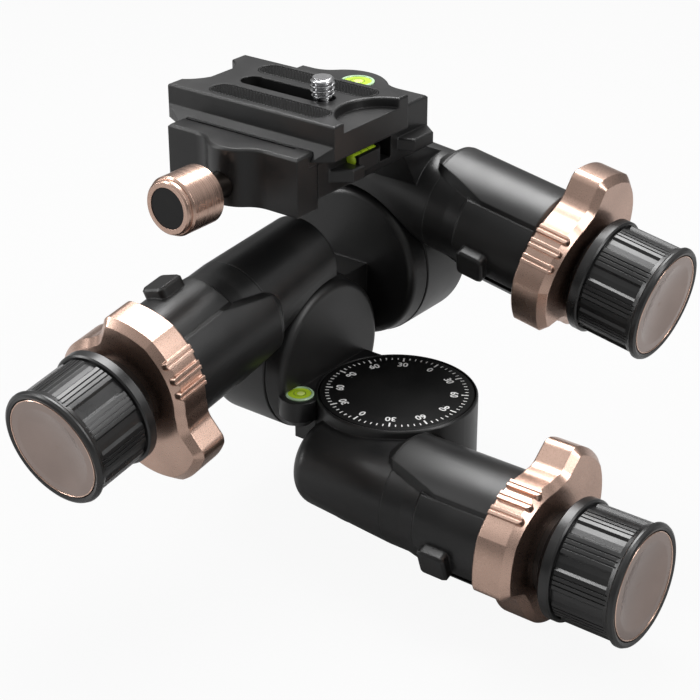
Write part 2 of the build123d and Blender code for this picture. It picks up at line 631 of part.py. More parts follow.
def worm_bore(reach, seam):
    """Space inside a root tube for the spigot, the worm and its end bush."""
    spigot_end = seam + SPIGOT_L + 0.1
    thread_end = reach + THREAD_BACK + 0.3
    bush_end = thread_end + END_BUSH_L + 0.1
    return turned(
        (0, seam - 1), (SPIGOT_R + SEAT, seam - 1), (SPIGOT_R + SEAT, spigot_end), (WORM_BORE_R, spigot_end),
        (WORM_BORE_R, thread_end), (END_BUSH_R, thread_end), (END_BUSH_R, bush_end), (0, bush_end),
    )


# ---------- Base and pan body ----------
def around(count, radius, shape, first_deg=45):
    """Copies of a shape spaced round Z."""
    return [Rot(0, 0, first_deg + n * 360 / count) * Pos(radius, 0, 0) * shape for n in range(count)]


def base_plate():
    plate = fillet(rod(BASE_R, 0, BASE_T).edges().filter_by(GeomType.CIRCLE).sort_by(Axis.Z)[0], BASE_EDGE_R)
    plate -= rod(TRIPOD_BUSH_R + SEAT, -1, BASE_T + 1)
    return plate - around(BASE_SCREW_COUNT, BASE_SCREW_RING_R, screw(BASE_SCREW_R, BASE_SCREW_HEAD_R, SEAT))


def screw(shank_r, head_r, clearance):
    """Countersunk screw from below, or its hole when there is a clearance."""
    head_z = 0.3 - (1.0 if clearance else 0)
    cone_z = 0.6
    neck_z = cone_z + head_r - shank_r
    end_z = 8.0 + clearance
    return turned(
        (0, head_z), (head_r + clearance, head_z), (head_r + clearance, cone_z),
        (shank_r + clearance, neck_z),
        (shank_r + clearance, end_z), (0, end_z))


def pan_spindle():
    """Hub and spindle that the pan wheel, the bush and the dial sit on."""
    body = turned(
        (0, BASE_T), (SPINDLE_HUB_R, BASE_T), (SPINDLE_HUB_R, PAN_WORM_Z - WHEEL_WIDTH / 2),
        (SPINDLE_R, PAN_WORM_Z - WHEEL_WIDTH / 2), (SPINDLE_R, DIAL_TOP - DIAL_T), (0, DIAL_TOP - DIAL_T))
    body -= rod(TRIPOD_BUSH_R + SEAT, 0, TRIPOD_BUSH_H + 1)
    body -= rod(TRIPOD_HOLE_R, 0, PAN_WORM_Z)
    return body - around(BASE_SCREW_COUNT, BASE_SCREW_RING_R, screw(BASE_SCREW_R, BASE_SCREW_HEAD_R, SEAT))


def pan_dial():
    dial = rod(DIAL_R, DIAL_TOP - DIAL_T, DIAL_TOP)
    return chamfer(dial.edges().filter_by(GeomType.CIRCLE).sort_by(Axis.Z)[-1], 0.3)


def pan_housing():
    low = BASE_T + SEAM
    body = turned(
        (0, low), (PAN_BODY_R, low), (PAN_BODY_R, DIAL_TOP - 0.5), (PAN_BODY_R - 0.3, DIAL_TOP),
        (0, DIAL_TOP))
    tube = PAN_BARREL.location * root_tube(PAN_SEAM_S, PAN_REACH + PAN_TUBE_PAST_MESH, PAN_END_FILLET, 0)
    body += tube - rod(BASE_R + SEAM, -2 * ROOT_R, low)
    wheel_top = PAN_WORM_Z + WHEEL_WIDTH / 2 + WHEEL_CLEARANCE
    wheel_space = PAN_WHEEL_R + ADDENDUM + WHEEL_CLEARANCE
    body -= rod(wheel_space, 0, wheel_top)
    body -= rod(PAN_BUSH_R + SEAT, 0, DIAL_TOP)
    body -= rod(DIAL_R + DIAL_RIM, DIAL_TOP - DIAL_T - SEAM, DIAL_TOP + 1)
    sleeve_space = rod(HOOD_R + SEAM, SLEEVE_S, PAN_SEAM_S)
    return body - PAN_BARREL.location * worm_bore(PAN_REACH, PAN_SEAM_S) - PAN_BARREL.location * sleeve_space


def pan_bush():
    low = PAN_WORM_Z + WHEEL_WIDTH / 2 + WHEEL_CLEARANCE
    return ring(PAN_BUSH_R, SPINDLE_R + RUN, low, low + PAN_BUSH_H)


# ---------- Swing drive, along Z from the wheel's mid-plane ----------
def flange(radius):
    """Round flange that carries the axle, on the far side of the seam from the housing."""
    face = FLANGE_SEAM + FLANGE_T
    disc = turned((0, -face), (radius - FLANGE_DRAFT, -face), (radius, -FLANGE_SEAM), (0, -FLANGE_SEAM))
    disc = fillet(disc.edges().filter_by(GeomType.CIRCLE).sort_by(Axis.Z)[0], FLANGE_EDGE_R)
    return disc - rod(AXLE_R + SEAT, -face + 1.4, -FLANGE_SEAM + 1)


def axle():
    end = HOUSING_BACK + HOUSING_WALL + NUT_T + 0.4
    return chamfer(rod(AXLE_R, -FLANGE_SEAM - FLANGE_T + 1.4, end).edges().sort_by(Axis.Z)[-1], 0.5)


def axle_nut():
    low = HOUSING_BACK + HOUSING_WALL + 0.15
    nut = Pos(0, 0, low) * extrude(RegularPolygon(NUT_R, 6), NUT_T)
    return nut - rod(AXLE_R + SEAT, low - 1, low + NUT_T + 1)


def swing_bush():
    return ring(SWING_BUSH_R, AXLE_R + RUN, HOUSING_BACK, HOUSING_BACK + HOUSING_WALL)


def cover():
    disc = rod(COVER_R - SEAT, HOUSING_END - COVER_T, HOUSING_END)
    return chamfer(disc.edges().sort_by(Axis.Z)[-1], 0.4)


def housing_shell(radius):
    shell = rod(radius, -HOUSING_FRONT, HOUSING_END)
    shell = fillet(shell.edges().filter_by(GeomType.CIRCLE).sort_by(Axis.Z)[-1], FLANGE_EDGE_R)
    return chamfer(shell.edges().filter_by(GeomType.CIRCLE).sort_by(Axis.Z)[0], 0.3)


def housing_space():
    """Everything that is bored out of a swing housing."""
    wheel_space = SWING_WHEEL_R + ADDENDUM + WHEEL_CLEARANCE / 2
    recess = HOUSING_BACK + HOUSING_WALL
    space = rod(wheel_space, -HOUSING_FRONT - 1, HOUSING_BACK)
    space += rod(SWING_BUSH_R + SEAT, -HOUSING_FRONT, recess + 1)
    return space + rod(COVER_R, recess, HOUSING_END + 1)


def flange_space(radius):
    """Room for the flange, which the barrel's tube has to leave as it swings round it."""
    return rod(radius + SEAM, -FLANGE_SEAM - FLANGE_T - 2 * SEAM, -HOUSING_FRONT)


def swing_wheel(frame, drive):
    """Wheel in the row's frame. Its hub reaches the flange whichever way the frame points."""
    same_way = frame.z_dir.dot(drive.z_dir) > 0
    wheel = worm_wheel(SWING_TEETH, AXLE_R + SEAT, 0, 0)
    hub = ring(AXLE_R + 4, AXLE_R + SEAT, -FLANGE_SEAM, -WHEEL_WIDTH / 2)
    return frame.location * (wheel + (hub if same_way else mirror(hub, Plane.XY)))


def tilt_flange():
    """Tilt flange with its neck to the pan housing and the boss of the body's level."""
    disc = TILT_DRIVE.location * flange(TILT_FLANGE_R)
    face_x = TILT_WHEEL_X + FLANGE_SEAM + FLANGE_T
    neck_low = TILT_AXIS_Z - TILT_FLANGE_R + NECK_UNDERCUT
    neck = block((face_x - 1, -NECK_HALF_W, neck_low), (0, NECK_HALF_W, LEVEL_TOP))
    boss = Pos(LEVEL_X, LEVEL_Y, LEVEL_TOP - LEVEL_BOSS_H) * extrude(Circle(LEVEL_BOSS_R), LEVEL_BOSS_H)
    boss = chamfer(boss.edges().filter_by(GeomType.CIRCLE).sort_by(Axis.Z)[0], LEVEL_BOSS_CHAMFER)
    body = disc + neck + boss
    body -= rod(PAN_BODY_R + SEAT, 0, DIAL_TOP + 1)
    tube_end = PAN_REACH + PAN_TUBE_PAST_MESH + SEAT
    body -= PAN_BARREL.location * root_tube(PAN_SEAM_S, tube_end, PAN_END_FILLET, 0)
    axle_hole = TILT_DRIVE.location * rod(AXLE_R + SEAT, -FLANGE_SEAM - FLANGE_T + 1.4, 0)
    vial_hole = rod(VIAL_R + SEAT, LEVEL_TOP - VIAL_DEPTH, LEVEL_TOP + 1)
    return body - axle_hole - Pos(LEVEL_X, LEVEL_Y, 0) * vial_hole


def vial(radius, depth, top, round_r):
    """Round bubble vial with a rounded window."""
    body = rod(radius, top - depth, top)
    return fillet(body.edges().filter_by(GeomType.CIRCLE).sort_by(Axis.Z)[-1], round_r)


# ---------- Tilt body ----------
def tilt_housing():
    body = TILT_DRIVE.location * housing_shell(TILT_BODY_R)
    tube_end = TILT_REACH + SWING_TUBE_PAST_MESH
    body += TILT_BARREL.location * root_tube(TILT_SEAM_S, tube_end, TUBE_END_FILLET, 90)
    body -= TILT_DRIVE.location * housing_space()
    body -= TILT_BARREL.location * worm_bore(TILT_REACH, TILT_SEAM_S)
    return body - TILT_DRIVE.location * flange_space(TILT_FLANGE_R)


def roll_flange():
    """Roll flange with the web that joins it to the back of the tilt housing."""
    disc = ROLL_DRIVE.location * flange(ROLL_FLANGE_R)
    face_y = ROLL_WHEEL_Y - FLANGE_SEAM - FLANGE_T
    right_x = TILT_WHEEL_X + HOUSING_FRONT - WEB_SEAM_INSET
    left_x = TILT_WHEEL_X - HOUSING_END + WEB_INSET
    web = block((left_x, 0, ROLL_AXIS_Z - ROLL_FLANGE_R + WEB_INSET), (right_x, face_y + 1, WEB_TOP))
    web -= TILT_DRIVE.location * rod(TILT_BODY_R + SEAT, -2 * HOUSING_END, 2 * HOUSING_END)
    web = web.solids().sort_by(Axis.Y)[-1]
    axle_hole = ROLL_DRIVE.location * rod(AXLE_R + SEAT, -FLANGE_SEAM - FLANGE_T + 1.4, 0)
    return disc + web - axle_hole


# ---------- Roll body and clamp base ----------
def roll_housing():
    """Roll housing with its barrel root and the slanted bracket under the clamp."""
    body = ROLL_DRIVE.location * housing_shell(ROLL_BODY_R)
    tube_end = ROLL_REACH + SWING_TUBE_PAST_MESH
    body += ROLL_BARREL.location * root_tube(ROLL_SEAM_S, tube_end, TUBE_END_FILLET, 0)
    foot_y = ROLL_WHEEL_Y - HOUSING_FRONT
    back_y = ROLL_WHEEL_Y + HOUSING_END - 1
    side = [
        (foot_y, BRACKET_FOOT_Z), (foot_y, BRACKET_KINK_Z), (BRACKET_REACH_Y, SLAB_BOTTOM),
        (FIXED_JAW_Y, SLAB_BOTTOM), (back_y, BRACKET_BACK_Z), (back_y, BRACKET_FOOT_Z),
    ]
    body += prism(side, Plane.YZ, BRACKET_LEFT_X, BRACKET_RIGHT_X)
    body -= ROLL_DRIVE.location * housing_space()
    body -= ROLL_BARREL.location * worm_bore(ROLL_REACH, ROLL_SEAM_S)
    body -= ROLL_DRIVE.location * flange_space(ROLL_FLANGE_R)
    for x, y in clamp_screw_places():
        body -= Pos(x, y, 0) * rod(CLAMP_SCREW_R + SEAT, SLAB_BOTTOM - 5, SLAB_BOTTOM + 1)
    return body


def clamp_screw_places():
    return [(CLAMP_X + side * CLAMP_SCREW_SPREAD, CLAMP_SCREW_Y) for side in (1, -1)]


def dovetail(grow):
    """Plate section in Y and Z, grown by a clearance, along the whole clamp."""
    w, top_w = PLATE_HALF_W + grow, PLATE_TOP_HALF_W + grow
    side = [(w, PLATE_BOTTOM), (w, PLATE_FLARE_Z - PLATE_HALF_W + PLATE_TOP_HALF_W + grow),
            (top_w, PLATE_FLARE_Z + grow), (top_w, PLATE_TOP)]
    return mirrored_points(side)


def bulged_outline(edge_y, other_y, bulge_x, bulge_r, bulge_h):
    """Jaw outline in plan with a round bulge on its outer edge."""
    left, right = CLAMP_LEFT_X, CLAMP_RIGHT_X
    low, high = min(edge_y, other_y), max(edge_y, other_y)
    outward = 1 if edge_y > other_y else -1
    outline = Pos(left, low) * Rectangle(right - left, high - low, align=(Align.MIN, Align.MIN))
    bulge = Pos(bulge_x, edge_y + outward * (bulge_h - bulge_r)) * Circle(bulge_r)
    outer_half = Pos(bulge_x, other_y + outward * 2 * bulge_r) * Rectangle(4 * bulge_r, 4 * bulge_r)
    outline += bulge & outer_half
    inner = [v for v in outline.vertices() if abs(v.Y - edge_y) < 0.01 and abs(v.X - bulge_x) < bulge_r]
    return fillet(inner, BULGE_FILLET)


def clamp_base():
    """Slab under the plate with the fixed jaw, the level's bay and the thread boss."""
    low = SLAB_BOTTOM
    root_x = CLAMP_RIGHT_X - TAB_ROOT
    slab = block((CLAMP_LEFT_X, SLAB_FRONT_Y, low), (CLAMP_RIGHT_X, FIXED_JAW_Y, SLAB_TOP))
    boss = block(
        (CLAMP_X - BOSS_HALF_W, SLAB_FRONT_Y, BOSS_BOTTOM), (CLAMP_X + BOSS_HALF_W, BOSS_BACK_Y, low))
    jaw_outline = bulged_outline(FIXED_JAW_Y, PLATE_TOP_HALF_W, BACK_BULGE_X, BACK_BULGE_R, BACK_BULGE_H)
    jaw = Pos(0, 0, low) * extrude(jaw_outline, FIXED_JAW_TOP - low)
    jaw = chamfer(jaw.faces().sort_by(Axis.Z)[-1].edges(), 0.5)
    body = slab + boss + jaw
    body -= block(
        (CLAMP_RIGHT_X - LEVEL_BAY_DEPTH, TAB_BACK_Y - SEAT, TAB_BOTTOM - 1), (0, LEVEL_BAY_Y, FIXED_JAW_TOP))
    front_tab = [
        (root_x, SLAB_FRONT_Y + 1), (CLAMP_RIGHT_X, TAB_CORNER_Y), (TAB_X, TAB_FRONT_Y), (TAB_X, TAB_BACK_Y),
        (root_x, TAB_BACK_Y)]
    back_arm = [
        (root_x, ARM_ROOT_Y), (ARM_X, ARM_Y), (ARM_X, ARM_BACK_Y), (CLAMP_RIGHT_X, FIXED_JAW_Y),
        (root_x, FIXED_JAW_Y)]
    body += level_holder(root_x)
    for outline in (front_tab, back_arm):
        tab = prism(outline, Plane.XY, TAB_BOTTOM, TAB_TOP)
        body += chamfer(tab.faces().sort_by(Axis.Z)[-1].edges(), 0.4)
    body -= side_vial(SEAT)
    body -= prism(dovetail(SLIDE), Plane.YZ, CLAMP_LEFT_X - 1, 0)
    body -= along_y(CLAMP_X, SHAFT_Z, CLAMP_THREAD_R + RUN, SLAB_FRONT_Y - 1, BOSS_BACK_Y - 1)
    for x, z in pin_places():
        body -= along_y(x, z, PIN_R + RUN, SLAB_FRONT_Y - 1, SLAB_FRONT_Y + PIN_DEPTH + 1)
    for x, y in clamp_screw_places():
        body -= Pos(x, y, 0) * clamp_screw(SEAT)
    vial_hole = rod(ROUND_LEVEL_R + SEAT, FIXED_JAW_TOP - VIAL_DEPTH, FIXED_JAW_TOP + 1)
    return body - Pos(CLAMP_X, ROUND_LEVEL_Y, 0) * vial_hole


def level_holder(root_x):
    """Block that carries the side level, with one round corner."""
    holder = block((root_x, TAB_BACK_Y - 1, HOLDER_BOTTOM), (HOLDER_X, HOLDER_BACK_Y, HOLDER_TOP))
    corner = holder.edges().filter_by(Axis.Z).sort_by_distance(Vector(HOLDER_X, HOLDER_BACK_Y, HOLDER_TOP))[0]
    return fillet(corner, HOLDER_CORNER_R)


def pin_places():
    return [(CLAMP_X + side * PIN_SPREAD, SHAFT_Z + PIN_RISE) for side in (1, -1)]


def along_y(x, z, radius, low, high):
    """Cylinder along Y through (x, z)."""
    return Pos(x, 0, z) * Rot(-90, 0, 0) * rod(radius, low, high)


def clamp_screw(clearance):
    top = PLATE_BOTTOM - 0.4 + (1.0 if clearance else 0)
    head = PLATE_BOTTOM - 3.5
    return turned(
        (0, SLAB_BOTTOM - 4.8), (CLAMP_SCREW_R + clearance, SLAB_BOTTOM - 4.8),
        (CLAMP_SCREW_R + clearance, head),
        (CLAMP_SCREW_HEAD_R + clearance, head), (CLAMP_SCREW_HEAD_R + clearance, top), (0, top))


def side_vial(clearance):
    """Tube level across the clamp's end, or its groove when there is a clearance."""
    return along_y(
        SIDE_VIAL_X, SIDE_VIAL_Z, SIDE_VIAL_R + clearance, SIDE_VIAL_FRONT_Y - clearance,
        SIDE_VIAL_BACK_Y + clearance)


# ---------- Clamp jaw and its knob ----------
def clamp_jaw():
    outline = bulged_outline(JAW_FRONT_Y, JAW_BACK_Y, CLAMP_X, BULGE_R, BULGE_H)
    body = Pos(0, 0, JAW_BOTTOM) * extrude(outline, JAW_TOP - JAW_BOTTOM)
    body = chamfer(body.faces().sort_by(Axis.Z)[-1].edges(), 0.6)
    body -= prism(dovetail(SLIDE), Plane.YZ, CLAMP_LEFT_X - 1, CLAMP_RIGHT_X + 1)
    body -= block(
        (CLAMP_LEFT_X - 1, JAW_GROOVE_Y, JAW_TOP - JAW_GROOVE_D),
        (JAW_GROOVE_RIGHT_X, JAW_GROOVE_Y + JAW_GROOVE_W, JAW_TOP + 1))
    body -= along_y(CLAMP_X, SHAFT_Z, CLAMP_SHAFT_R + RUN, CLAMP_KNOB_BACK_Y, JAW_BACK_Y + 1)
    for x, z in pin_places():
        body -= along_y(x, z, PIN_R + SEAT, JAW_BACK_Y - PIN_SEAT, JAW_BACK_Y + 1)
    return body


def guide_pins():
    """Two pins set in the jaw that slide in the clamp base."""
    return Compound([
        along_y(x, z, PIN_R, JAW_BACK_Y - PIN_SEAT, SLAB_FRONT_Y + PIN_DEPTH) for x, z in pin_places()
    ])


def clamp_shaft():
    shaft = along_y(CLAMP_X, SHAFT_Z, CLAMP_SHAFT_R, CLAMP_KNOB_FACE_Y + 4, JAW_BACK_Y)
    return shaft + along_y(CLAMP_X, SHAFT_Z, CLAMP_THREAD_R, JAW_BACK_Y - 1, 4)


def clamp_knob():
    length = CLAMP_KNOB_BACK_Y - CLAMP_KNOB_FACE_Y
    body = turned(
        (0, CLAMP_CAP_DEPTH), (CLAMP_CAP_R, CLAMP_CAP_DEPTH), (CLAMP_CAP_R, 0), (CLAMP_KNOB_RIM_R - 0.4, 0),
        (CLAMP_KNOB_RIM_R, 0.4), (CLAMP_KNOB_RIM_R, 1.4), (CLAMP_KNOB_R - 0.5, 1.4), (CLAMP_KNOB_R, 1.9),
        (CLAMP_KNOB_R, length - 0.8), (CLAMP_KNOB_R - 0.8, length), (0, length))
    body -= rod(CLAMP_SHAFT_R + SEAT, 4, length + 1)
    return CLAMP_KNOB_FRAME.location * body


def clamp_knob_cap():
    return CLAMP_KNOB_FRAME.location * rod(CLAMP_CAP_R - SEAT, 0.15, CLAMP_CAP_DEPTH)



# ---------- Quick-release plate ----------
def scoop(deepest_x, outward):
    """Round scoop let into the top of a plate end. outward is the side its end lies on."""
    return Pos(deepest_x + outward * SCOOP_R, 0, 0) * rod(SCOOP_R, SCOOP_FLOOR, PLATE_TOP + 1)


def stadium(left_x, right_x, half_w, mid_y, low, high):
    """Round-ended bar along X."""
    outline = Pos((left_x + right_x) / 2, mid_y) * SlotOverall(right_x - left_x, 2 * half_w)
    return Pos(0, 0, low) * extrude(outline, high - low)


def quick_release_plate():
    body = prism(dovetail(0), Plane.YZ, PLATE_LEFT_X, PLATE_RIGHT_X)
    for end_x, jaw_x in ((PLATE_LEFT_X, CLAMP_LEFT_X), (PLATE_RIGHT_X, CLAMP_RIGHT_X)):
        past_x = 2 * end_x - jaw_x
        low_x, high_x = sorted((past_x, jaw_x))
        body -= block(
            (low_x, -PLATE_HALF_W - 1, PLATE_BOTTOM - 1), (high_x, PLATE_HALF_W + 1, PLATE_END_BOTTOM))
        for side in (1, -1):
            outer_y, inner_y = side * (PLATE_HALF_W + 1), side * PLATE_TOP_HALF_W
            corner = [
                (jaw_x, side * PLATE_HALF_W), (end_x, inner_y), (past_x, inner_y), (past_x, outer_y),
                (jaw_x, outer_y)]
            body -= prism(corner, Plane.XY, PLATE_BOTTOM - 1, PLATE_TOP + 1)
    body -= scoop(LEFT_SCOOP_X, -1)
    body -= scoop(RIGHT_SCOOP_X, 1)
    body = fillet(body.faces().sort_by(Axis.Z)[-1].outer_wire().edges(), PLATE_EDGE_R)
    body -= stadium(SLOT_LEFT_X, SLOT_RIGHT_X, SLOT_HALF_W, 0, PLATE_BOTTOM - 1, PLATE_TOP + 1)
    reach = SLOT_HEAD_HALF_W - SLOT_HALF_W
    body -= stadium(
        SLOT_LEFT_X - reach, SLOT_RIGHT_X + reach, SLOT_HEAD_HALF_W, 0, PLATE_BOTTOM - 1, SLOT_HEAD_TOP)
    for side in (1, -1):
        body -= stadium(
            PAD_LEFT_X, PAD_RIGHT_X, PAD_W / 2, side * PAD_MID_Y, PLATE_TOP - PAD_DEPTH, PLATE_TOP + 1)
    return body


def grip_pads():
    return Compound([
        stadium(PAD_LEFT_X + SEAT, PAD_RIGHT_X - SEAT, PAD_W / 2 - SEAT, side * PAD_MID_Y,
                PLATE_TOP - PAD_DEPTH, PLATE_TOP + PAD_PROUD)
        for side in (1, -1)
    ])


def camera_screw():
    """1/4 inch camera screw with its flat head under the slot."""
    head_top = SLOT_HEAD_TOP - SLIDE
    head_low = head_top - SCREW_HEAD_T
    neck_top = PLATE_TOP + SCREW_NECK_RISE
    body = turned(
        (0, head_low), (SCREW_HEAD_R, head_low), (SCREW_HEAD_R, head_top), (SCREW_NECK_R, head_top),
        (SCREW_NECK_R, neck_top), (SCREW_R, neck_top), (SCREW_R, SCREW_TOP - 0.7), (SCREW_R - 0.7, SCREW_TOP),
        (0, SCREW_TOP))
    body -= block(
        (-SCREW_HEAD_R, -SCREW_SLOT_HALF_W, head_low - 1),
        (SCREW_HEAD_R, SCREW_SLOT_HALF_W, head_low + SCREW_SLOT_D))
    return Pos(SCREW_X, 0, 0) * body


# ---------- Assembly ----------
def barrel_parts(name, frame, reach, seam, turn, wheel_deg, ring_deg, ring_shift, grip_deg):
    """The moving and fixed pieces of one knob barrel, in the head's frame."""
    local = {
        "sleeve": Rot(0, 0, turn) * sleeve(seam),
        "worm_bushes": worm_bushes(reach, seam),
        "ring_spring": ring_spring(ring_shift),
        "release_ring": Pos(0, 0, ring_shift) * release_ring(ring_deg),
        "worm_shaft": worm_shaft(reach, wheel_deg),
        "knob_grip": knob_grip(grip_deg),
        "knob_inlay": knob_inlay(),
    }
    return {f"{name}_{piece}": frame.location * shape for piece, shape in local.items()}


def swing_parts(name, drive, frame):
    """Axle, nut, wheel, bush and cover of one swing joint."""
    return {
        f"{name}_axle": drive.location * axle(),
        f"{name}_axle_nut": drive.location * axle_nut(),
        f"{name}_wheel": swing_wheel(frame, drive),
        f"{name}_bush": drive.location * swing_bush(),
        f"{name}_cover": drive.location * cover(),
    }


nodes = {
    "base_plate": base_plate(),
    "base_screws": Compound(around(
        BASE_SCREW_COUNT, BASE_SCREW_RING_R, screw(BASE_SCREW_R, BASE_SCREW_HEAD_R, 0))),
    "tripod_bush": ring(TRIPOD_BUSH_R, TRIPOD_HOLE_R, 0, TRIPOD_BUSH_H),
    "pan_spindle": pan_spindle(),
    "pan_wheel": PAN_WHEEL_FRAME.location * worm_wheel(PAN_TEETH, SPINDLE_R + SEAT, 0, 0),
    "pan_dial": pan_dial(),
    "pan_housing": pan_housing(),
    "pan_bush": pan_bush(),
    "tilt_flange": tilt_flange(),
    "body_level_vial": Pos(LEVEL_X, LEVEL_Y, 0) * vial(VIAL_R, VIAL_DEPTH + 0.4, LEVEL_TOP + 0.4, 0.6),
    "tilt_housing": tilt_housing(),
    "roll_flange": roll_flange(),
    "roll_housing": roll_housing(),
    "clamp_base": clamp_base(),
    "clamp_screws": Compound([Pos(x, y, 0) * clamp_screw(0) for x, y in clamp_screw_places()]),
    "round_level_vial": Pos(CLAMP_X, ROUND_LEVEL_Y, 0) * vial(
        ROUND_LEVEL_R, VIAL_DEPTH + 0.4, FIXED_JAW_TOP + 0.4, 0.6),
    "side_level_vial": side_vial(0),
    "clamp_jaw": clamp_jaw(),
    "guide_pins": guide_pins(),
    "clamp_shaft": clamp_shaft(),
    "clamp_knob": clamp_knob(),
    "clamp_knob_cap": clamp_knob_cap(),
    "quick_release_plate": quick_release_plate(),
    "grip_pads": grip_pads(),
    "camera_screw": camera_screw(),
}
nodes |= swing_parts("tilt", TILT_DRIVE, TILT_WHEEL_FRAME)
nodes |= swing_parts("roll", ROLL_DRIVE, ROLL_WHEEL_FRAME)
nodes |= barrel_parts(
    "pan", PAN_BARREL, PAN_REACH, PAN_SEAM_S, 0, 0, PAN_RING_DEG, 0, PAN_GRIP_DEG)
nodes |= barrel_parts(
    "tilt", TILT_BARREL, TILT_REACH, TILT_SEAM_S, 90, 90, TILT_RING_DEG, 0, TILT_GRIP_DEG)
nodes |= barrel_parts(
    "roll", ROLL_BARREL, ROLL_REACH, ROLL_SEAM_S, 0, 90, ROLL_RING_DEG, ROLL_RING_SHIFT, ROLL_GRIP_DEG)

os.makedirs("parts", exist_ok=True)
for name, shape in nodes.items():
    export_step(shape, f"parts/{name}.step")
print(len(nodes), "nodes")
for name, plane in (("pan", PAN_BARREL), ("tilt", TILT_BARREL), ("roll", ROLL_BARREL)):
    face = [round(v, 3) for v in plane.origin]
    print(name, "knob face", face, "inward", [round(v, 4) for v in plane.z_dir])
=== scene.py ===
# %% [markdown]
# # A geared tripod head
# This lesson dresses a geared tripod head. Its working pieces come ready made from the
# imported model, at their real size and place, and each one already belongs to the body
# that carries it. Here they get their finishes, and the small pieces that no solid model
# holds are added as meshes: dial marks, a cut thread, level vials, grip pads.

# %% Load the frame
import json
from math import cos, floor, hypot, pi, radians, sin

import bpy
from mathutils import Matrix, Vector


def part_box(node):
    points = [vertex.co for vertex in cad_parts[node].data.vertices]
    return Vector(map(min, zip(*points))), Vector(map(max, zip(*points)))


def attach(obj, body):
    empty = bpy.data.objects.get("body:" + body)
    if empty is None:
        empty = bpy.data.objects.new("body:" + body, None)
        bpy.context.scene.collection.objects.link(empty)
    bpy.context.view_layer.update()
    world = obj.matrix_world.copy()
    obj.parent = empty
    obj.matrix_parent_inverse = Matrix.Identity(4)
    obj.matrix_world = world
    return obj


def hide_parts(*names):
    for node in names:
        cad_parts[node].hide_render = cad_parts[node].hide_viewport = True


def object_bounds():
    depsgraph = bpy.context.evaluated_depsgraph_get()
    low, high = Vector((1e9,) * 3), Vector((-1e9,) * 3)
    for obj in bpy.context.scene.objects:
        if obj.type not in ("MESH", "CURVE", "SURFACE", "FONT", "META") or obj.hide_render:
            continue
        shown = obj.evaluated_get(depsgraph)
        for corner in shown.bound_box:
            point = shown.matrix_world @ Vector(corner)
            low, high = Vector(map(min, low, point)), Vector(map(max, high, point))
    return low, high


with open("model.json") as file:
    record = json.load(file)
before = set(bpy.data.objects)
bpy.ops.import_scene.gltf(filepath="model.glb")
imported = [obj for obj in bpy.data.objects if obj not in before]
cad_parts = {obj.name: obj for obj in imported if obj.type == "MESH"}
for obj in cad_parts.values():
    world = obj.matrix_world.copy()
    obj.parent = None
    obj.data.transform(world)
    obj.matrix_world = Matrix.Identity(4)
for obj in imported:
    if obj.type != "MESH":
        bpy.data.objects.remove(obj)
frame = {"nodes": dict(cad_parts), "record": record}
nodes = frame["nodes"]
cad_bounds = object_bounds()

# %% [markdown]
# ## Units
# Blender works in metres, and this head is easiest to think of in millimetres, so every
# size below is written in millimetres and multiplied once, when a mesh is made.
#
# Three knob barrels leave the head in three directions. Each has its own frame: the
# middle of the knob's front face, the direction into the barrel, and the one that is up
# for somebody who faces the knob. Turned finishes need the axis, and small pieces on a
# barrel are placed by angle, radius and depth.

# %% Units and barrel frames
MM = 0.001
DROOP = radians(10)
BARRELS = {
    "pan": ((85.3, -19.004, 14.8), (-1, 0, 0), (0, 0, 1)),
    "tilt": ((-34.2, -90.201, 42.04), (0, cos(DROOP), sin(DROOP)), (0, -sin(DROOP), cos(DROOP))),
    "roll": ((56.592, 37.2, 57.136), (-cos(DROOP), 0, sin(DROOP)), (sin(DROOP), 0, cos(DROOP))),
}
CLAMP_KNOB_FACE = (-34.2, -47.3, 88.7)
SHARP_ANGLE = radians(32)


def on_barrel(barrel, angle, radius, depth):
    """A point in mm, at an angle from up, a radius and a depth behind the knob's face."""
    face, inward, up = (Vector(v) for v in BARRELS[barrel])
    across = inward.cross(up)
    outward = across * sin(radians(angle)) + up * cos(radians(angle))
    return face + inward * depth + outward * radius


# %% [markdown]
# ## Node helpers
# Nearly everything here is aluminium: blasted and anodised black for the bodies, milled
# and anodised champagne bronze for the rings and the clamp knob. A painted texture would
# need unwrapping, and its scale would have to be matched by hand. Noise in object space
# needs neither, because all objects share one real scale, so each finish is a small tree
# of noise that drives colour, roughness and bump.

# %% Node helpers
def new_material(name, viewport_color):
    """An empty node material with its node tree and its Principled shader."""
    material = bpy.data.materials.new(name)
    material.use_nodes = True
    material.diffuse_color = (*viewport_color, 1)
    return material, material.node_tree, material.node_tree.nodes["Principled BSDF"]


def add_node(tree, kind, links=(), **inputs):
    """A node with some inputs set by name, and (output, input) pairs linked into it."""
    node = tree.nodes.new(kind)
    for socket, value in inputs.items():
        node.inputs[socket.replace("_", " ")].default_value = value
    for source, socket in links:
        tree.links.new(source, node.inputs[socket])
    return node


def object_place(tree):
    """Where a point lies, in metres."""
    return tree.nodes.new("ShaderNodeTexCoord").outputs["Object"]


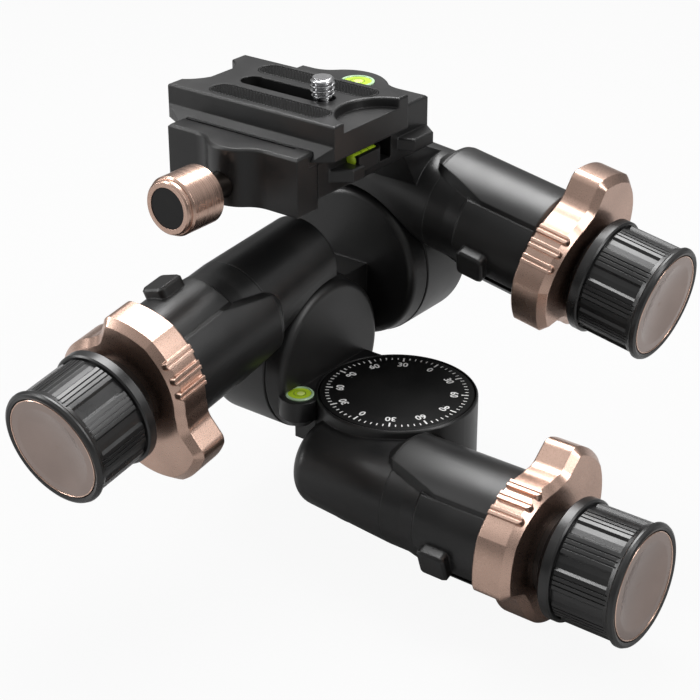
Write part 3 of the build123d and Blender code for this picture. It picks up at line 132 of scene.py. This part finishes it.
def lathe_place(tree, face, inward):
    """Depth along a turning axis and distance from it: noise in it runs round as tool marks."""
    def vector_math(operation, *sources):
        node = tree.nodes.new("ShaderNodeVectorMath")
        node.operation = operation
        for number, source in enumerate(sources):
            if hasattr(source, "links"):
                tree.links.new(source, node.inputs[number])
            else:
                node.inputs[number].default_value = source
        return node

    origin = tuple(v * MM for v in face)
    from_face = vector_math("SUBTRACT", object_place(tree), origin).outputs["Vector"]
    depth = vector_math("DOT_PRODUCT", from_face, tuple(inward)).outputs["Value"]
    along = vector_math("SCALE", tuple(inward))
    tree.links.new(depth, along.inputs["Scale"])
    radial = vector_math("SUBTRACT", from_face, along.outputs["Vector"]).outputs["Vector"]
    radius = vector_math("LENGTH", radial).outputs["Value"]
    return add_node(tree, "ShaderNodeCombineXYZ", [(depth, "X"), (radius, "Y")]).outputs["Vector"]


def noise(tree, size_mm, detail=2.0, place=None):
    """Noise whose spots are about size_mm across."""
    place = place or object_place(tree)
    node = add_node(
        tree, "ShaderNodeTexNoise", [(place, "Vector")], Scale=1 / (size_mm * MM), Detail=detail)
    return node.outputs["Fac"]


def ramp(tree, source, low, high, low_at=0.35, high_at=0.65):
    """Maps a value onto two colours or two greys."""
    node = tree.nodes.new("ShaderNodeValToRGB")
    for element, at, value in zip(node.color_ramp.elements, (low_at, high_at), (low, high)):
        element.position = at
        element.color = (*value, 1) if hasattr(value, "__len__") else (value, value, value, 1)
    tree.links.new(source, node.inputs["Fac"])
    return node.outputs["Color"]


def bump(tree, shader, layers, edge_mm):
    """Stacks bump layers of (height, depth in mm) on normals that are rounded at the edges."""
    edge = tree.nodes.new("ShaderNodeBevel")
    edge.samples = 4
    edge.inputs["Radius"].default_value = edge_mm * MM
    normal = edge.outputs["Normal"]
    for height, depth_mm in layers:
        links = [(height, "Height"), (normal, "Normal")]
        node = add_node(tree, "ShaderNodeBump", links, Strength=1.0, Distance=depth_mm * MM)
        normal = node.outputs["Normal"]
    tree.links.new(normal, shader.inputs["Normal"])


def tinted(color, factor):
    return tuple(min(c * factor, 1) for c in color)


# %% [markdown]
# ## Black anodising
# Blasted aluminium takes the dye as a very dark grey with a fine grain of about a fifth of
# a millimetre. Handling polishes it in soft patches, which shows as a change of roughness
# more than of colour. The edges are tumbled round, so the normals are rounded there, and
# each one catches a thin line of light.

# %% Black anodising
def anodised_black(
        name, grey, roughness, grain_mm=0.2, grain_depth=0.008, edge_mm=0.4, gloss=0.5):
    material, tree, shader = new_material(name, (grey, grey, grey))
    drift = noise(tree, 14.0, 3)
    grain = noise(tree, grain_mm, 1)
    color = ramp(
        tree, drift, (grey * 0.8, grey * 0.8, grey * 0.83), (grey * 1.2, grey * 1.17, grey * 1.15))
    tree.links.new(color, shader.inputs["Base Color"])
    gloss_patches = ramp(tree, drift, roughness - 0.04, roughness + 0.05)
    tree.links.new(gloss_patches, shader.inputs["Roughness"])
    shader.inputs["Specular IOR Level"].default_value = gloss
    bump(tree, shader, [(grain, grain_depth)], edge_mm)
    return material


finish = {
    "body_black": anodised_black("body_black", 0.0085, 0.35, edge_mm=0.55),
    "knob_black": anodised_black(
        "knob_black", 0.010, 0.30, grain_depth=0.003, edge_mm=0.12, gloss=0.6),
    "dial_black": anodised_black(
        "dial_black", 0.003, 0.42, grain_depth=0.004, edge_mm=0.1, gloss=0.3),
    "cap_black": anodised_black(
        "cap_black", 0.008, 0.6, grain_depth=0.012, edge_mm=0.1, gloss=0.3),
    "pad_rubber": anodised_black(
        "pad_rubber", 0.003, 0.45, grain_mm=0.3, edge_mm=0.03, gloss=0.35),
}
print("black finishes", len(finish))


# %% [markdown]
# ## Metals
# The turned pieces carry the finest of tool marks, which run round their axis. Noise read
# in depth and radius alone is the same all the way round, so it becomes those marks. The
# release rings are milled and then dyed champagne bronze, and their grain has no direction.

# %% Metals
def metal(name, color, roughness, axis=None, mark_mm=0.25, mark_depth=0.0005, edge_mm=0.15):
    """A bare or dyed metal. axis is the (face, direction) of the lathe where it was turned."""
    material, tree, shader = new_material(name, color)
    drift = noise(tree, 11.0, 3)
    marks = noise(tree, mark_mm, 2, lathe_place(tree, *axis) if axis else None)
    tree.links.new(ramp(tree, drift, tinted(color, 0.9), color), shader.inputs["Base Color"])
    mark_roughness = ramp(tree, marks, roughness - 0.03, roughness + 0.04)
    tree.links.new(mark_roughness, shader.inputs["Roughness"])
    shader.inputs["Metallic"].default_value = 1.0
    bump(tree, shader, [(marks, mark_depth)], edge_mm)
    return material


BRONZE = (0.64, 0.44, 0.355)
TAUPE = (0.36, 0.285, 0.255)
finish |= {
    "bronze": metal("bronze", BRONZE, 0.29, mark_mm=0.18, mark_depth=0.0002, edge_mm=0.35),
    "polished_bronze": metal("polished_bronze", (0.82, 0.58, 0.47), 0.18),
    "clamp_bronze": metal(
        "clamp_bronze", BRONZE, 0.26, (CLAMP_KNOB_FACE, (0, 1, 0)), mark_depth=0.0002),
    "steel": metal("steel", (0.62, 0.62, 0.63), 0.22),
    "dark_steel": metal("dark_steel", (0.055, 0.045, 0.04), 0.34),
    "spring_steel": metal("spring_steel", (0.72, 0.72, 0.72), 0.16, edge_mm=0.02),
    "bronze_bush": metal("bronze_bush", (0.50, 0.32, 0.16), 0.42),
    "wheel_brass": metal("wheel_brass", (0.76, 0.56, 0.26), 0.30, edge_mm=0.08),
}
for barrel, (face, inward, _) in BARRELS.items():
    finish[barrel + "_inlay"] = metal(
        barrel + "_inlay", TAUPE, 0.20, (face, inward),
        mark_mm=0.4, mark_depth=0.0002, edge_mm=0.3)
print("all finishes", sorted(finish))


# %% [markdown]
# ## Paint and level vials
# The marks on the dial are matt white paint. A bull's-eye level is a clear acrylic capsule
# of lime fluid. The capsule glows a little from the light that enters at its top and
# leaves through the fluid, which a faint emission of the fluid's own colour imitates.

# %% Paint and acrylic
def plain_paint(name, color, roughness, coat=0.0, glow=0.0):
    material, tree, shader = new_material(name, color)
    drift = noise(tree, 5.0, 2)
    shade = ramp(tree, drift, tinted(color, 0.93), tinted(color, 1.05))
    tree.links.new(shade, shader.inputs["Base Color"])
    shader.inputs["Roughness"].default_value = roughness
    shader.inputs["Coat Weight"].default_value = coat
    shader.inputs["Emission Color"].default_value = (*color, 1)
    shader.inputs["Emission Strength"].default_value = glow
    bump(tree, shader, [(noise(tree, 0.3, 1), 0.001)], 0.05)
    return material


LIME = (0.42, 0.60, 0.03)
finish |= {
    "mark_white": plain_paint("mark_white", (0.80, 0.80, 0.79), 0.6),
    "level_green": plain_paint("level_green", LIME, 0.15, coat=0.4, glow=0.06),
    "level_bubble": plain_paint("level_bubble", (0.66, 0.80, 0.22), 0.12, coat=0.4, glow=0.05),
    "level_mark": plain_paint("level_mark", (0.10, 0.17, 0.01), 0.3),
    "level_rim": plain_paint("level_rim", (0.42, 0.60, 0.38), 0.2, coat=0.5),
}
print("paints ready")

# %% [markdown]
# ## Finishes for the CAD pieces
# Every CAD piece has a slot name in the record, so one loop gives each its finish.

# %% Dress the CAD nodes
def finish_of(node, slot):
    """A turned piece's finish knows its own axis, and the others take their slot's."""
    if node == "clamp_knob":
        return finish["clamp_bronze"]
    if slot == "inlay_taupe":
        return finish[node.split("_")[0] + "_inlay"]
    return finish[slot]


for part in frame["record"]["subparts"]:
    mesh = nodes[part["node"]].data
    mesh.materials.clear()
    mesh.materials.append(finish_of(part["node"], part["material_slot"]))
    mesh.polygons.foreach_set("use_smooth", [True] * len(mesh.polygons))
    mesh.set_sharp_from_angle(angle=SHARP_ANGLE)
print("dressed", len(nodes))


# %% [markdown]
# ## Making meshes
# The added pieces are mostly round or flat. One helper turns a list of points and faces
# into an object that rides on a body, and another spins an outline round an axis. The
# outline's steps can each have a material, which makes a ringed vial in one piece.

# %% Mesh helpers
def add_piece(name, points, faces, body, materials, face_materials=None, smooth=True):
    """A mesh object from points in millimetres, riding on a body."""
    mesh = bpy.data.meshes.new(name)
    mesh.from_pydata([Vector(p) * MM for p in points], [], faces)
    for material in materials:
        mesh.materials.append(finish[material])
    if face_materials:
        mesh.polygons.foreach_set("material_index", face_materials)
    mesh.polygons.foreach_set("use_smooth", [smooth] * len(mesh.polygons))
    mesh.set_sharp_from_angle(angle=SHARP_ANGLE)
    mesh.update()
    piece = bpy.data.objects.new(name, mesh)
    bpy.context.scene.collection.objects.link(piece)
    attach(piece, body)
    return piece


def spun(outline, steps=64, center=(0, 0, 0), axis=(0, 0, 1)):
    """Points and faces of an outline of (radius, height, material) spun round an axis."""
    turn = Vector((0, 0, 1)).rotation_difference(Vector(axis))
    points, faces, numbers = [], [], []
    for radius, height, number in outline:
        for step in range(steps):
            angle = 2 * pi * step / steps
            around = Vector((radius * cos(angle), radius * sin(angle), height))
            points.append(Vector(center) + turn @ around)
    for row in range(len(outline) - 1):
        for step in range(steps):
            a, b = row * steps + step, row * steps + (step + 1) % steps
            faces.append((a, b, b + steps, a + steps))
            numbers.append(outline[row + 1][2])
    faces.append(tuple(reversed(range(steps))))
    faces.append(tuple(range(len(points) - steps, len(points))))
    numbers += [outline[0][2], outline[-1][2]]
    return points, faces, numbers


# %% [markdown]
# ## Dial marks
# The dial turns with the base and is read against the body: a short mark every five
# degrees, a longer one with a number every thirty. As paint in a material they would need
# an image, so they are thin raised meshes instead, a few hundredths of a millimetre high
# like thick ink. Blender's own typeface has the same
# plain round figures.

# %% Dial ticks
DIAL_TOP = 30.0
INK = 0.03
DIAL_STEP = 30
TICK_OUTER_R = 18.8
SHORT_TICK, LONG_TICK = 1.0, 1.9
SHORT_TICK_W, LONG_TICK_W = 0.30, 0.45
NUMBER_R = 14.9
NUMBER_SIZE = 2.9
NUMBER_BOLD = 0.06
BOX_FACES = (
    (3, 2, 1, 0), (4, 5, 6, 7), (0, 1, 5, 4), (1, 2, 6, 5), (2, 3, 7, 6), (3, 0, 4, 7))


def dial_ticks():
    points, faces = [], []
    for angle in range(0, 360, 5):
        is_long = angle % DIAL_STEP == 0
        inner = TICK_OUTER_R - (LONG_TICK if is_long else SHORT_TICK)
        half = (LONG_TICK_W if is_long else SHORT_TICK_W) / 2
        turn = Matrix.Rotation(radians(angle), 3, "Z")
        first = len(points)
        for height in (DIAL_TOP - INK, DIAL_TOP + INK):
            corners = ((inner, -half), (TICK_OUTER_R, -half), (TICK_OUTER_R, half), (inner, half))
            points += [turn @ Vector((x, y, height)) for x, y in corners]
        for face in BOX_FACES:
            faces.append(tuple(first + corner for corner in face))
    return add_piece("dial_ticks", points, faces, "base", ["mark_white"], smooth=False)


print("ticks", len(dial_ticks().data.polygons))


# %% Dial numbers
def dial_number(text, angle):
    """One number whose top points outward, at an angle from +X."""
    curve = bpy.data.curves.new("dial_number", "FONT")
    curve.body = text
    curve.size = NUMBER_SIZE * MM
    curve.align_x, curve.align_y = "CENTER", "CENTER"
    curve.extrude = INK * MM
    curve.offset = NUMBER_BOLD * MM
    curve.resolution_u = 6
    words = bpy.data.objects.new("words", curve)
    bpy.context.scene.collection.objects.link(words)
    bpy.context.view_layer.update()
    mesh = bpy.data.meshes.new_from_object(words)
    bpy.data.objects.remove(words)
    place = Matrix.Translation(Vector((
        NUMBER_R * cos(radians(angle)), NUMBER_R * sin(radians(angle)), DIAL_TOP)) * MM)
    mesh.transform(place @ Matrix.Rotation(radians(angle - 90), 4, "Z"))
    mesh.materials.clear()
    mesh.materials.append(finish["mark_white"])
    piece = bpy.data.objects.new(f"dial_number_{angle}", mesh)
    bpy.context.scene.collection.objects.link(piece)
    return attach(piece, "base")


DIAL_NUMBERS = 360 // DIAL_STEP
for step in range(DIAL_NUMBERS):
    half_turn = step % 6
    dial_number(str(90 - DIAL_STEP * min(half_turn, 6 - half_turn)), step * DIAL_STEP)
print("dial numbers", DIAL_NUMBERS)


# %% [markdown]
# ## Level vials
# A bull's-eye level seen from above is a set of rings: the acrylic rim, the fluid, a
# printed circle in the middle, and the bubble inside it. Spinning one outline with a
# material for each step gives the rim, fluid and circle. The bubble is a flat dome.

# %% Bull's-eye levels
def round_level(name, node, body, radius, bubble_shift):
    low, high = (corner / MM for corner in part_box(node))
    middle = (low + high) / 2
    rim = 0.84 * radius
    fluid_top = high.z - 0.2
    outline = [
        (radius, low.z, 0), (radius, high.z - 0.15, 0), (radius - 0.15, high.z, 0),
        (rim, high.z, 0), (rim - 0.1, fluid_top, 0), (0.44 * radius, fluid_top + 0.08, 1),
        (0.39 * radius, fluid_top + 0.09, 2), (0.2 * radius, fluid_top + 0.1, 1),
        (0.02, fluid_top + 0.1, 1)]
    points, faces, numbers = spun(outline, center=(middle.x, middle.y, 0))
    vial = add_piece(name, points, faces, body, ["level_rim", "level_green", "level_mark"], numbers)
    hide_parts(node)
    reach = 0.27 * radius
    dome = [(reach * cos(t), 0.12 * sin(t), 0) for t in (radians(a) for a in range(0, 90, 15))]
    center = (middle.x + bubble_shift[0], middle.y + bubble_shift[1], fluid_top + 0.1)
    points, faces, numbers = spun(dome, 32, center)
    bubble = add_piece(name + "_bubble", points, faces, body, ["level_bubble"], numbers)
    return vial


round_level("body_level", "body_level_vial", "pan_body", 3.8, (0.3, 0.1))
round_level("clamp_level", "round_level_vial", "roll_body", 4.6, (0.2, 0.1))
print("round levels 2")

# %% [markdown]
# The side level is a straight tube with round ends. The real vial is crowned a little inside
# so that its bubble rests at the top; its bubble is not drawn. Two black lines mark the
# bubble's place.

# %% Side level
low, high = (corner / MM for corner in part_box("side_level_vial"))
VIAL_R = (high.x - low.x) / 2
VIAL_MIDDLE = (low + high) / 2
VIAL_LENGTH = high.y - low.y


def vial_outline():
    """Round-ended tube with two lines, as (radius, place along it, material)."""
    half = VIAL_LENGTH / 2
    turns = [radians(angle) for angle in (5, 30, 55, 75, 90)]
    end = [(VIAL_R * sin(t), VIAL_R * 0.5 * (1 - cos(t)) - half) for t in turns]
    left = [(radius, place, 0) for radius, place in end]
    middle = [(VIAL_R, -1.6, 0), (VIAL_R, -1.3, 1), (VIAL_R, 1.3, 0), (VIAL_R, 1.6, 1)]
    return left + middle + [(radius, -place, 0) for radius, place in reversed(end)]


points, faces, numbers = spun(vial_outline(), 32, VIAL_MIDDLE, (0, 1, 0))
side_vial = add_piece(
    "side_level", points, faces, "roll_body", ["level_green", "level_mark"], numbers)
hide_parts("side_level_vial")
print("side level", round(VIAL_LENGTH, 1), "mm long")

# %% [markdown]
# ## Camera screw
# The quarter-inch screw has twenty turns to the inch, so its pitch is 1.27 mm. A thread
# can be swept along a helix, but the ends are awkward to close. Here the screw is a grid
# of points instead, by angle and height, and only the radius changes: it follows a flat
# topped ridge that climbs one pitch a turn, cut by a cone at the tip and faded out at the
# neck. The grid closes by itself, and the thread is real geometry.

# %% Camera screw
SCREW_X = -24.0
PITCH = 1.27
CREST_R, ROOT_R, NECK_R = 3.1, 2.35, 2.4
THREAD_LOW = 106.2
SCREW_HEAD_R, SCREW_HEAD_T = 6.2, 3.0
SCREW_SLOT_HALF_W, SCREW_SLOT_D = 0.6, 1.0
screw_low, screw_high = (corner.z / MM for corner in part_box("camera_screw"))


def thread_radius(angle, height):
    turn = (height - THREAD_LOW) / PITCH - angle / (2 * pi)
    off_crest = abs(turn - floor(turn) - 0.5) * 2
    ridge = min(max((0.78 - off_crest) / 0.5, 0), 1)
    tip_cone = CREST_R - 0.8 * max(0, height - screw_high + 0.8)
    start = min(max((height - THREAD_LOW) / 0.5, 0), 1)
    return min(ROOT_R + (CREST_R - ROOT_R) * ridge * start, tip_cone)


def camera_screw():
    steps, rows = 72, 64
    head_top = screw_low + SCREW_HEAD_T
    points, faces, _ = spun([
        (0.4, screw_low, 0), (SCREW_HEAD_R - 0.3, screw_low, 0),
        (SCREW_HEAD_R, screw_low + 0.3, 0), (SCREW_HEAD_R, head_top, 0),
        (NECK_R, head_top, 0), (NECK_R, THREAD_LOW, 0)], steps)
    faces.pop()
    first = len(points) - steps
    for row in range(1, rows + 1):
        height = THREAD_LOW + (screw_high - THREAD_LOW) * row / rows
        for step in range(steps):
            angle = 2 * pi * step / steps
            radius = thread_radius(angle, height)
            points.append(Vector((radius * cos(angle), radius * sin(angle), height)))
    for row in range(rows):
        for step in range(steps):
            a, b = first + row * steps + step, first + row * steps + (step + 1) % steps
            faces.append((a, b, b + steps, a + steps))
    faces.append(tuple(range(len(points) - steps, len(points))))
    points = [p + Vector((SCREW_X, 0, 0)) for p in points]
    return add_piece("threaded_screw", points, faces, "camera_screw", ["steel"])


def cut_slot(piece):
    """A screwdriver slot across the head, cut with a boolean."""
    bpy.ops.mesh.primitive_cube_add(size=1)
    cutter = bpy.context.object
    cutter.scale = Vector((4 * SCREW_HEAD_R, 2 * SCREW_SLOT_HALF_W, 2 * SCREW_SLOT_D)) * MM
    cutter.location = Vector((SCREW_X, 0, screw_low)) * MM
    cut = piece.modifiers.new("slot", "BOOLEAN")
    cut.operation = "DIFFERENCE"
    cut.object = cutter
    bpy.context.view_layer.update()
    cut_piece = piece.evaluated_get(bpy.context.evaluated_depsgraph_get())
    mesh = bpy.data.meshes.new_from_object(cut_piece)
    piece.modifiers.clear()
    piece.data = mesh
    bpy.data.objects.remove(cutter)
    return len(mesh.polygons)


screw = camera_screw()
print("screw faces", cut_slot(screw))
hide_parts("camera_screw")

# %% [markdown]
# ## Grip pads
# Two rubber strips stop the camera from turning on the plate. Their faces are moulded in
# small diamonds, under a millimetre each. A bump map would look right from above and flat
# from the side, so each diamond is a low pyramid of its own on the strip, and those that
# would cross the strip's round ends are left out.

# %% Grip pads
PAD_ENDS = (-51.9, -14.6)
PAD_HALF_W = 3.7
PAD_MID_Y = 9.6
PAD_LOW, PAD_BASE, PAD_TOP = 104.7, 105.42, 105.9
DIAMOND = (0.98, 1.24)
DIAMOND_MARGIN = 0.62
DIAMOND_ROWS, DIAMOND_COLUMNS = range(-8, 9), range(90)


def inside_strip(x, y, margin):
    """Whether a point lies inside the strip's round-ended outline by a margin."""
    left, right = PAD_ENDS[0] + PAD_HALF_W, PAD_ENDS[1] - PAD_HALF_W
    return hypot(x - min(max(x, left), right), y) < PAD_HALF_W - margin


def strip_outline(inset, arc_steps=16):
    """The strip's outline, counter-clockwise."""
    points = []
    for center_x, start in ((PAD_ENDS[1] - PAD_HALF_W, -90), (PAD_ENDS[0] + PAD_HALF_W, 90)):
        for step in range(arc_steps + 1):
            angle = radians(start + 180 * step / arc_steps)
            reach = PAD_HALF_W - inset
            points.append((center_x + reach * cos(angle), reach * sin(angle)))
    return points


def grip_pads():
    points, faces = [], []
    for side_y in (PAD_MID_Y, -PAD_MID_Y):
        first = len(points)
        loops = [
            (0, PAD_LOW), (0, PAD_BASE + 0.1), (0.1, PAD_BASE + 0.2), (0.3, PAD_BASE + 0.2),
            (0.35, PAD_BASE)]
        for inset, height in loops:
            points += [(x, y + side_y, height) for x, y in strip_outline(inset)]
        count = len(strip_outline(0))
        for row in range(len(loops) - 1):
            for step in range(count):
                start = first + row * count
                a, b = start + step, start + (step + 1) % count
                faces.append((a, b, b + count, a + count))
        faces.append(tuple(reversed(range(first, first + count))))
        faces.append(tuple(range(len(points) - count, len(points))))
        wide, tall = DIAMOND
        for row in DIAMOND_ROWS:
            for column in DIAMOND_COLUMNS:
                x = PAD_ENDS[0] + (column / 2) * wide
                y = row * tall / 2
                if (row + column) % 2 or not inside_strip(x, y, DIAMOND_MARGIN):
                    continue
                corner = len(points)
                points += [
                    (x + wide / 2, side_y + y, PAD_BASE),
                    (x, side_y + y + tall / 2, PAD_BASE),
                    (x - wide / 2, side_y + y, PAD_BASE),
                    (x, side_y + y - tall / 2, PAD_BASE),
                    (x, side_y + y, PAD_TOP)]
                faces += [(corner + k, corner + (k + 1) % 4, corner + 4) for k in range(4)]
    return add_piece("diamond_pads", points, faces, "plate", ["pad_rubber"], smooth=False)


pads = grip_pads()
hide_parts("grip_pads")
print("pad faces", len(pads.data.polygons))

# %% [markdown]
# ## Inlay rims and detent balls
# The disc in each knob's end is held by a bright turned rim, a fine line that catches the
# light all the way round. It is spun like the vials, as a closed ring. The photograph has
# two bright dots beside the ridges of the roll barrel's release ring. They are taken to be
# the steel balls of a detent, which is a guess.

# %% Inlay rims
INLAY_R = 13.5
RIM_W = 0.32


def inlay_rim(barrel):
    face, inward, _ = BARRELS[barrel]
    outline = [
        (INLAY_R - RIM_W, 0.5), (INLAY_R - RIM_W, 0.28), (INLAY_R - RIM_W / 2, 0.16),
        (INLAY_R, 0.28), (INLAY_R, 0.5), (INLAY_R - RIM_W, 0.5)]
    points, faces, _ = spun([(r, depth, 0) for r, depth in outline], 128, face, inward)
    rim = add_piece(
        barrel + "_inlay_rim", points, faces[:-2], barrel + "_knob", ["polished_bronze"])
    return rim


for barrel in BARRELS:
    inlay_rim(barrel)
print("inlay rims", len(BARRELS))

# %% Detent balls
BALL_R = 0.95
BALL_FROM_AXIS = 17.6
RING_BACK = 32.3
BALL_PAST_RING = 0.35
BALL_ANGLES = (-62, -77)
for number, angle in enumerate(BALL_ANGLES):
    turns = [radians(5 + 17 * k) for k in range(11)]
    outline = [(BALL_R * sin(t), -BALL_R * cos(t), 0) for t in turns]
    place = on_barrel("roll", angle, BALL_FROM_AXIS, RING_BACK + BALL_PAST_RING)
    points, faces, numbers = spun(outline, 24, place, BARRELS["roll"][1])
    ball = add_piece(
        f"detent_ball_{number + 1}", points, faces, "roll_ring", ["spring_steel"], numbers)
print("detent balls", len(BALL_ANGLES))

# %% [markdown]
# ## Studio
# A pale floor, a white surround and three soft lamps. The object is mostly black, so what
# shapes it is what it reflects: one broad lamp behind and above lights the top faces, a
# strip on the left draws a line along each barrel, and a weak one fills from the right.

# %% Floor
FLOOR_SIZE = 4000.0
FLOOR_GREY = 0.36
WHITE_SHARE = 0.93


def floor_material():
    """Grey paint that the camera sees as near white, so it sends little light back."""
    material, tree, shader = new_material("floor_white", (0.9, 0.9, 0.9))
    shader.inputs["Base Color"].default_value = (*(FLOOR_GREY,) * 3, 1)
    shader.inputs["Roughness"].default_value = 0.9
    rays = tree.nodes.new("ShaderNodeLightPath").outputs
    white = add_node(tree, "ShaderNodeEmission", Color=(1, 1, 1, 1), Strength=1.0)
    share = tree.nodes.new("ShaderNodeMath")
    share.operation = "MULTIPLY"
    share.inputs[1].default_value = WHITE_SHARE
    tree.links.new(rays["Is Camera Ray"], share.inputs[0])
    blend = tree.nodes.new("ShaderNodeMixShader")
    tree.links.new(share.outputs[0], blend.inputs[0])
    tree.links.new(shader.outputs[0], blend.inputs[1])
    tree.links.new(white.outputs[0], blend.inputs[2])
    tree.links.new(blend.outputs[0], tree.nodes["Material Output"].inputs["Surface"])
    return material


bpy.ops.mesh.primitive_plane_add(size=FLOOR_SIZE * MM, location=(0, 0, cad_bounds[0].z))
floor_plane = bpy.context.object
floor_plane.name = "floor"
floor_plane.data.materials.append(floor_material())
print("floor at", round(cad_bounds[0].z / MM, 2), "mm")

# %% [markdown]
# The surround is white where the camera looks straight at it. What lights the object is
# softer: dim at the horizon and brighter overhead, as in a white tent lit from above.

# %% World
HORIZON_LIGHT, ZENITH_LIGHT = 0.12, 0.70
GLOSSY_SHARE = 0.15
world = bpy.data.worlds.new("studio")
bpy.context.scene.world = world
world.use_nodes = True
sky = world.node_tree


def sky_math(operation, first, second):
    node = sky.nodes.new("ShaderNodeMath")
    node.operation = operation
    for socket, value in zip(node.inputs, (first, second)):
        if hasattr(value, "links"):
            sky.links.new(value, socket)
        else:
            socket.default_value = value
    return node.outputs[0]


direction = sky.nodes.new("ShaderNodeTexCoord").outputs["Generated"]
upward = add_node(sky, "ShaderNodeSeparateXYZ", [(direction, 0)]).outputs["Z"]
tent = add_node(
    sky, "ShaderNodeMapRange", [(upward, "Value")], From_Min=0.0, From_Max=0.9,
    To_Min=HORIZON_LIGHT, To_Max=ZENITH_LIGHT).outputs["Result"]
rays = sky.nodes.new("ShaderNodeLightPath").outputs
seen = sky_math("MAXIMUM", rays["Is Camera Ray"], rays["Is Transmission Ray"])
mirrored = sky_math("MULTIPLY", rays["Is Glossy Ray"], GLOSSY_SHARE)
strength = sky_math("MAXIMUM", seen, sky_math("MAXIMUM", mirrored, tent))
background = sky.nodes["Background"]
background.inputs["Color"].default_value = (1, 1, 1, 1)
sky.links.new(strength, background.inputs["Strength"])
print("world ready")


# %% Lamps
def soft_lamp(name, place_mm, aim_mm, size_mm, power):
    """A rectangular area lamp at a place, turned to face a point."""
    data = bpy.data.lights.new(name, "AREA")
    data.shape = "RECTANGLE"
    data.size, data.size_y = size_mm[0] * MM, size_mm[1] * MM
    data.energy = power
    lamp = bpy.data.objects.new(name, data)
    place = Vector(place_mm) * MM
    lamp.location = place
    lamp.rotation_euler = (Vector(aim_mm) * MM - place).to_track_quat("-Z", "Y").to_euler()
    bpy.context.scene.collection.objects.link(lamp)
    return lamp


HEAD_MIDDLE = (0, 0, 50)
soft_lamp("overhead", (-160, 200, 560), HEAD_MIDDLE, (420, 300), 4.2)
soft_lamp("left_strip", (-480, -330, 300), HEAD_MIDDLE, (120, 520), 1.8)
soft_lamp("right_fill", (420, 60, 360), HEAD_MIDDLE, (160, 360), 1.2)

# %% [markdown]
# ## Camera
# The camera was solved from the photograph: 37.65 degrees round from the front, 25.8
# degrees above, about 440 mm away, on a long lens that is shifted from the picture's middle.

# %% Camera
CAMERA_AZIMUTH = 37.65
CAMERA_ELEVATION = 25.81
CAMERA_ROLL = -0.14
CAMERA_AIM = (0.51, -22.95, 63.58)
CAMERA_DISTANCE = 440.0
CAMERA_LENS = 92.72
CAMERA_SHIFT = (0.0077, -0.0622)

azimuth, elevation = radians(CAMERA_AZIMUTH), radians(CAMERA_ELEVATION)
back = Vector((sin(azimuth) * cos(elevation), -cos(azimuth) * cos(elevation), sin(elevation)))
camera_data = bpy.data.cameras.new("camera")
camera_data.lens = CAMERA_LENS
camera_data.sensor_width = 36.0
camera_data.shift_x, camera_data.shift_y = CAMERA_SHIFT
camera_data.clip_start = 0.01
camera = bpy.data.objects.new("camera", camera_data)
camera.location = (Vector(CAMERA_AIM) + back * CAMERA_DISTANCE) * MM
roll_turn = Matrix.Rotation(radians(CAMERA_ROLL), 3, "Z").to_quaternion()
camera.rotation_euler = (back.to_track_quat("Z", "Y") @ roll_turn).to_euler()
bpy.context.scene.collection.objects.link(camera)
bpy.context.scene.camera = camera
bpy.context.scene.view_settings.view_transform = "Standard"
print("camera at", [round(v / MM, 1) for v in camera.location])
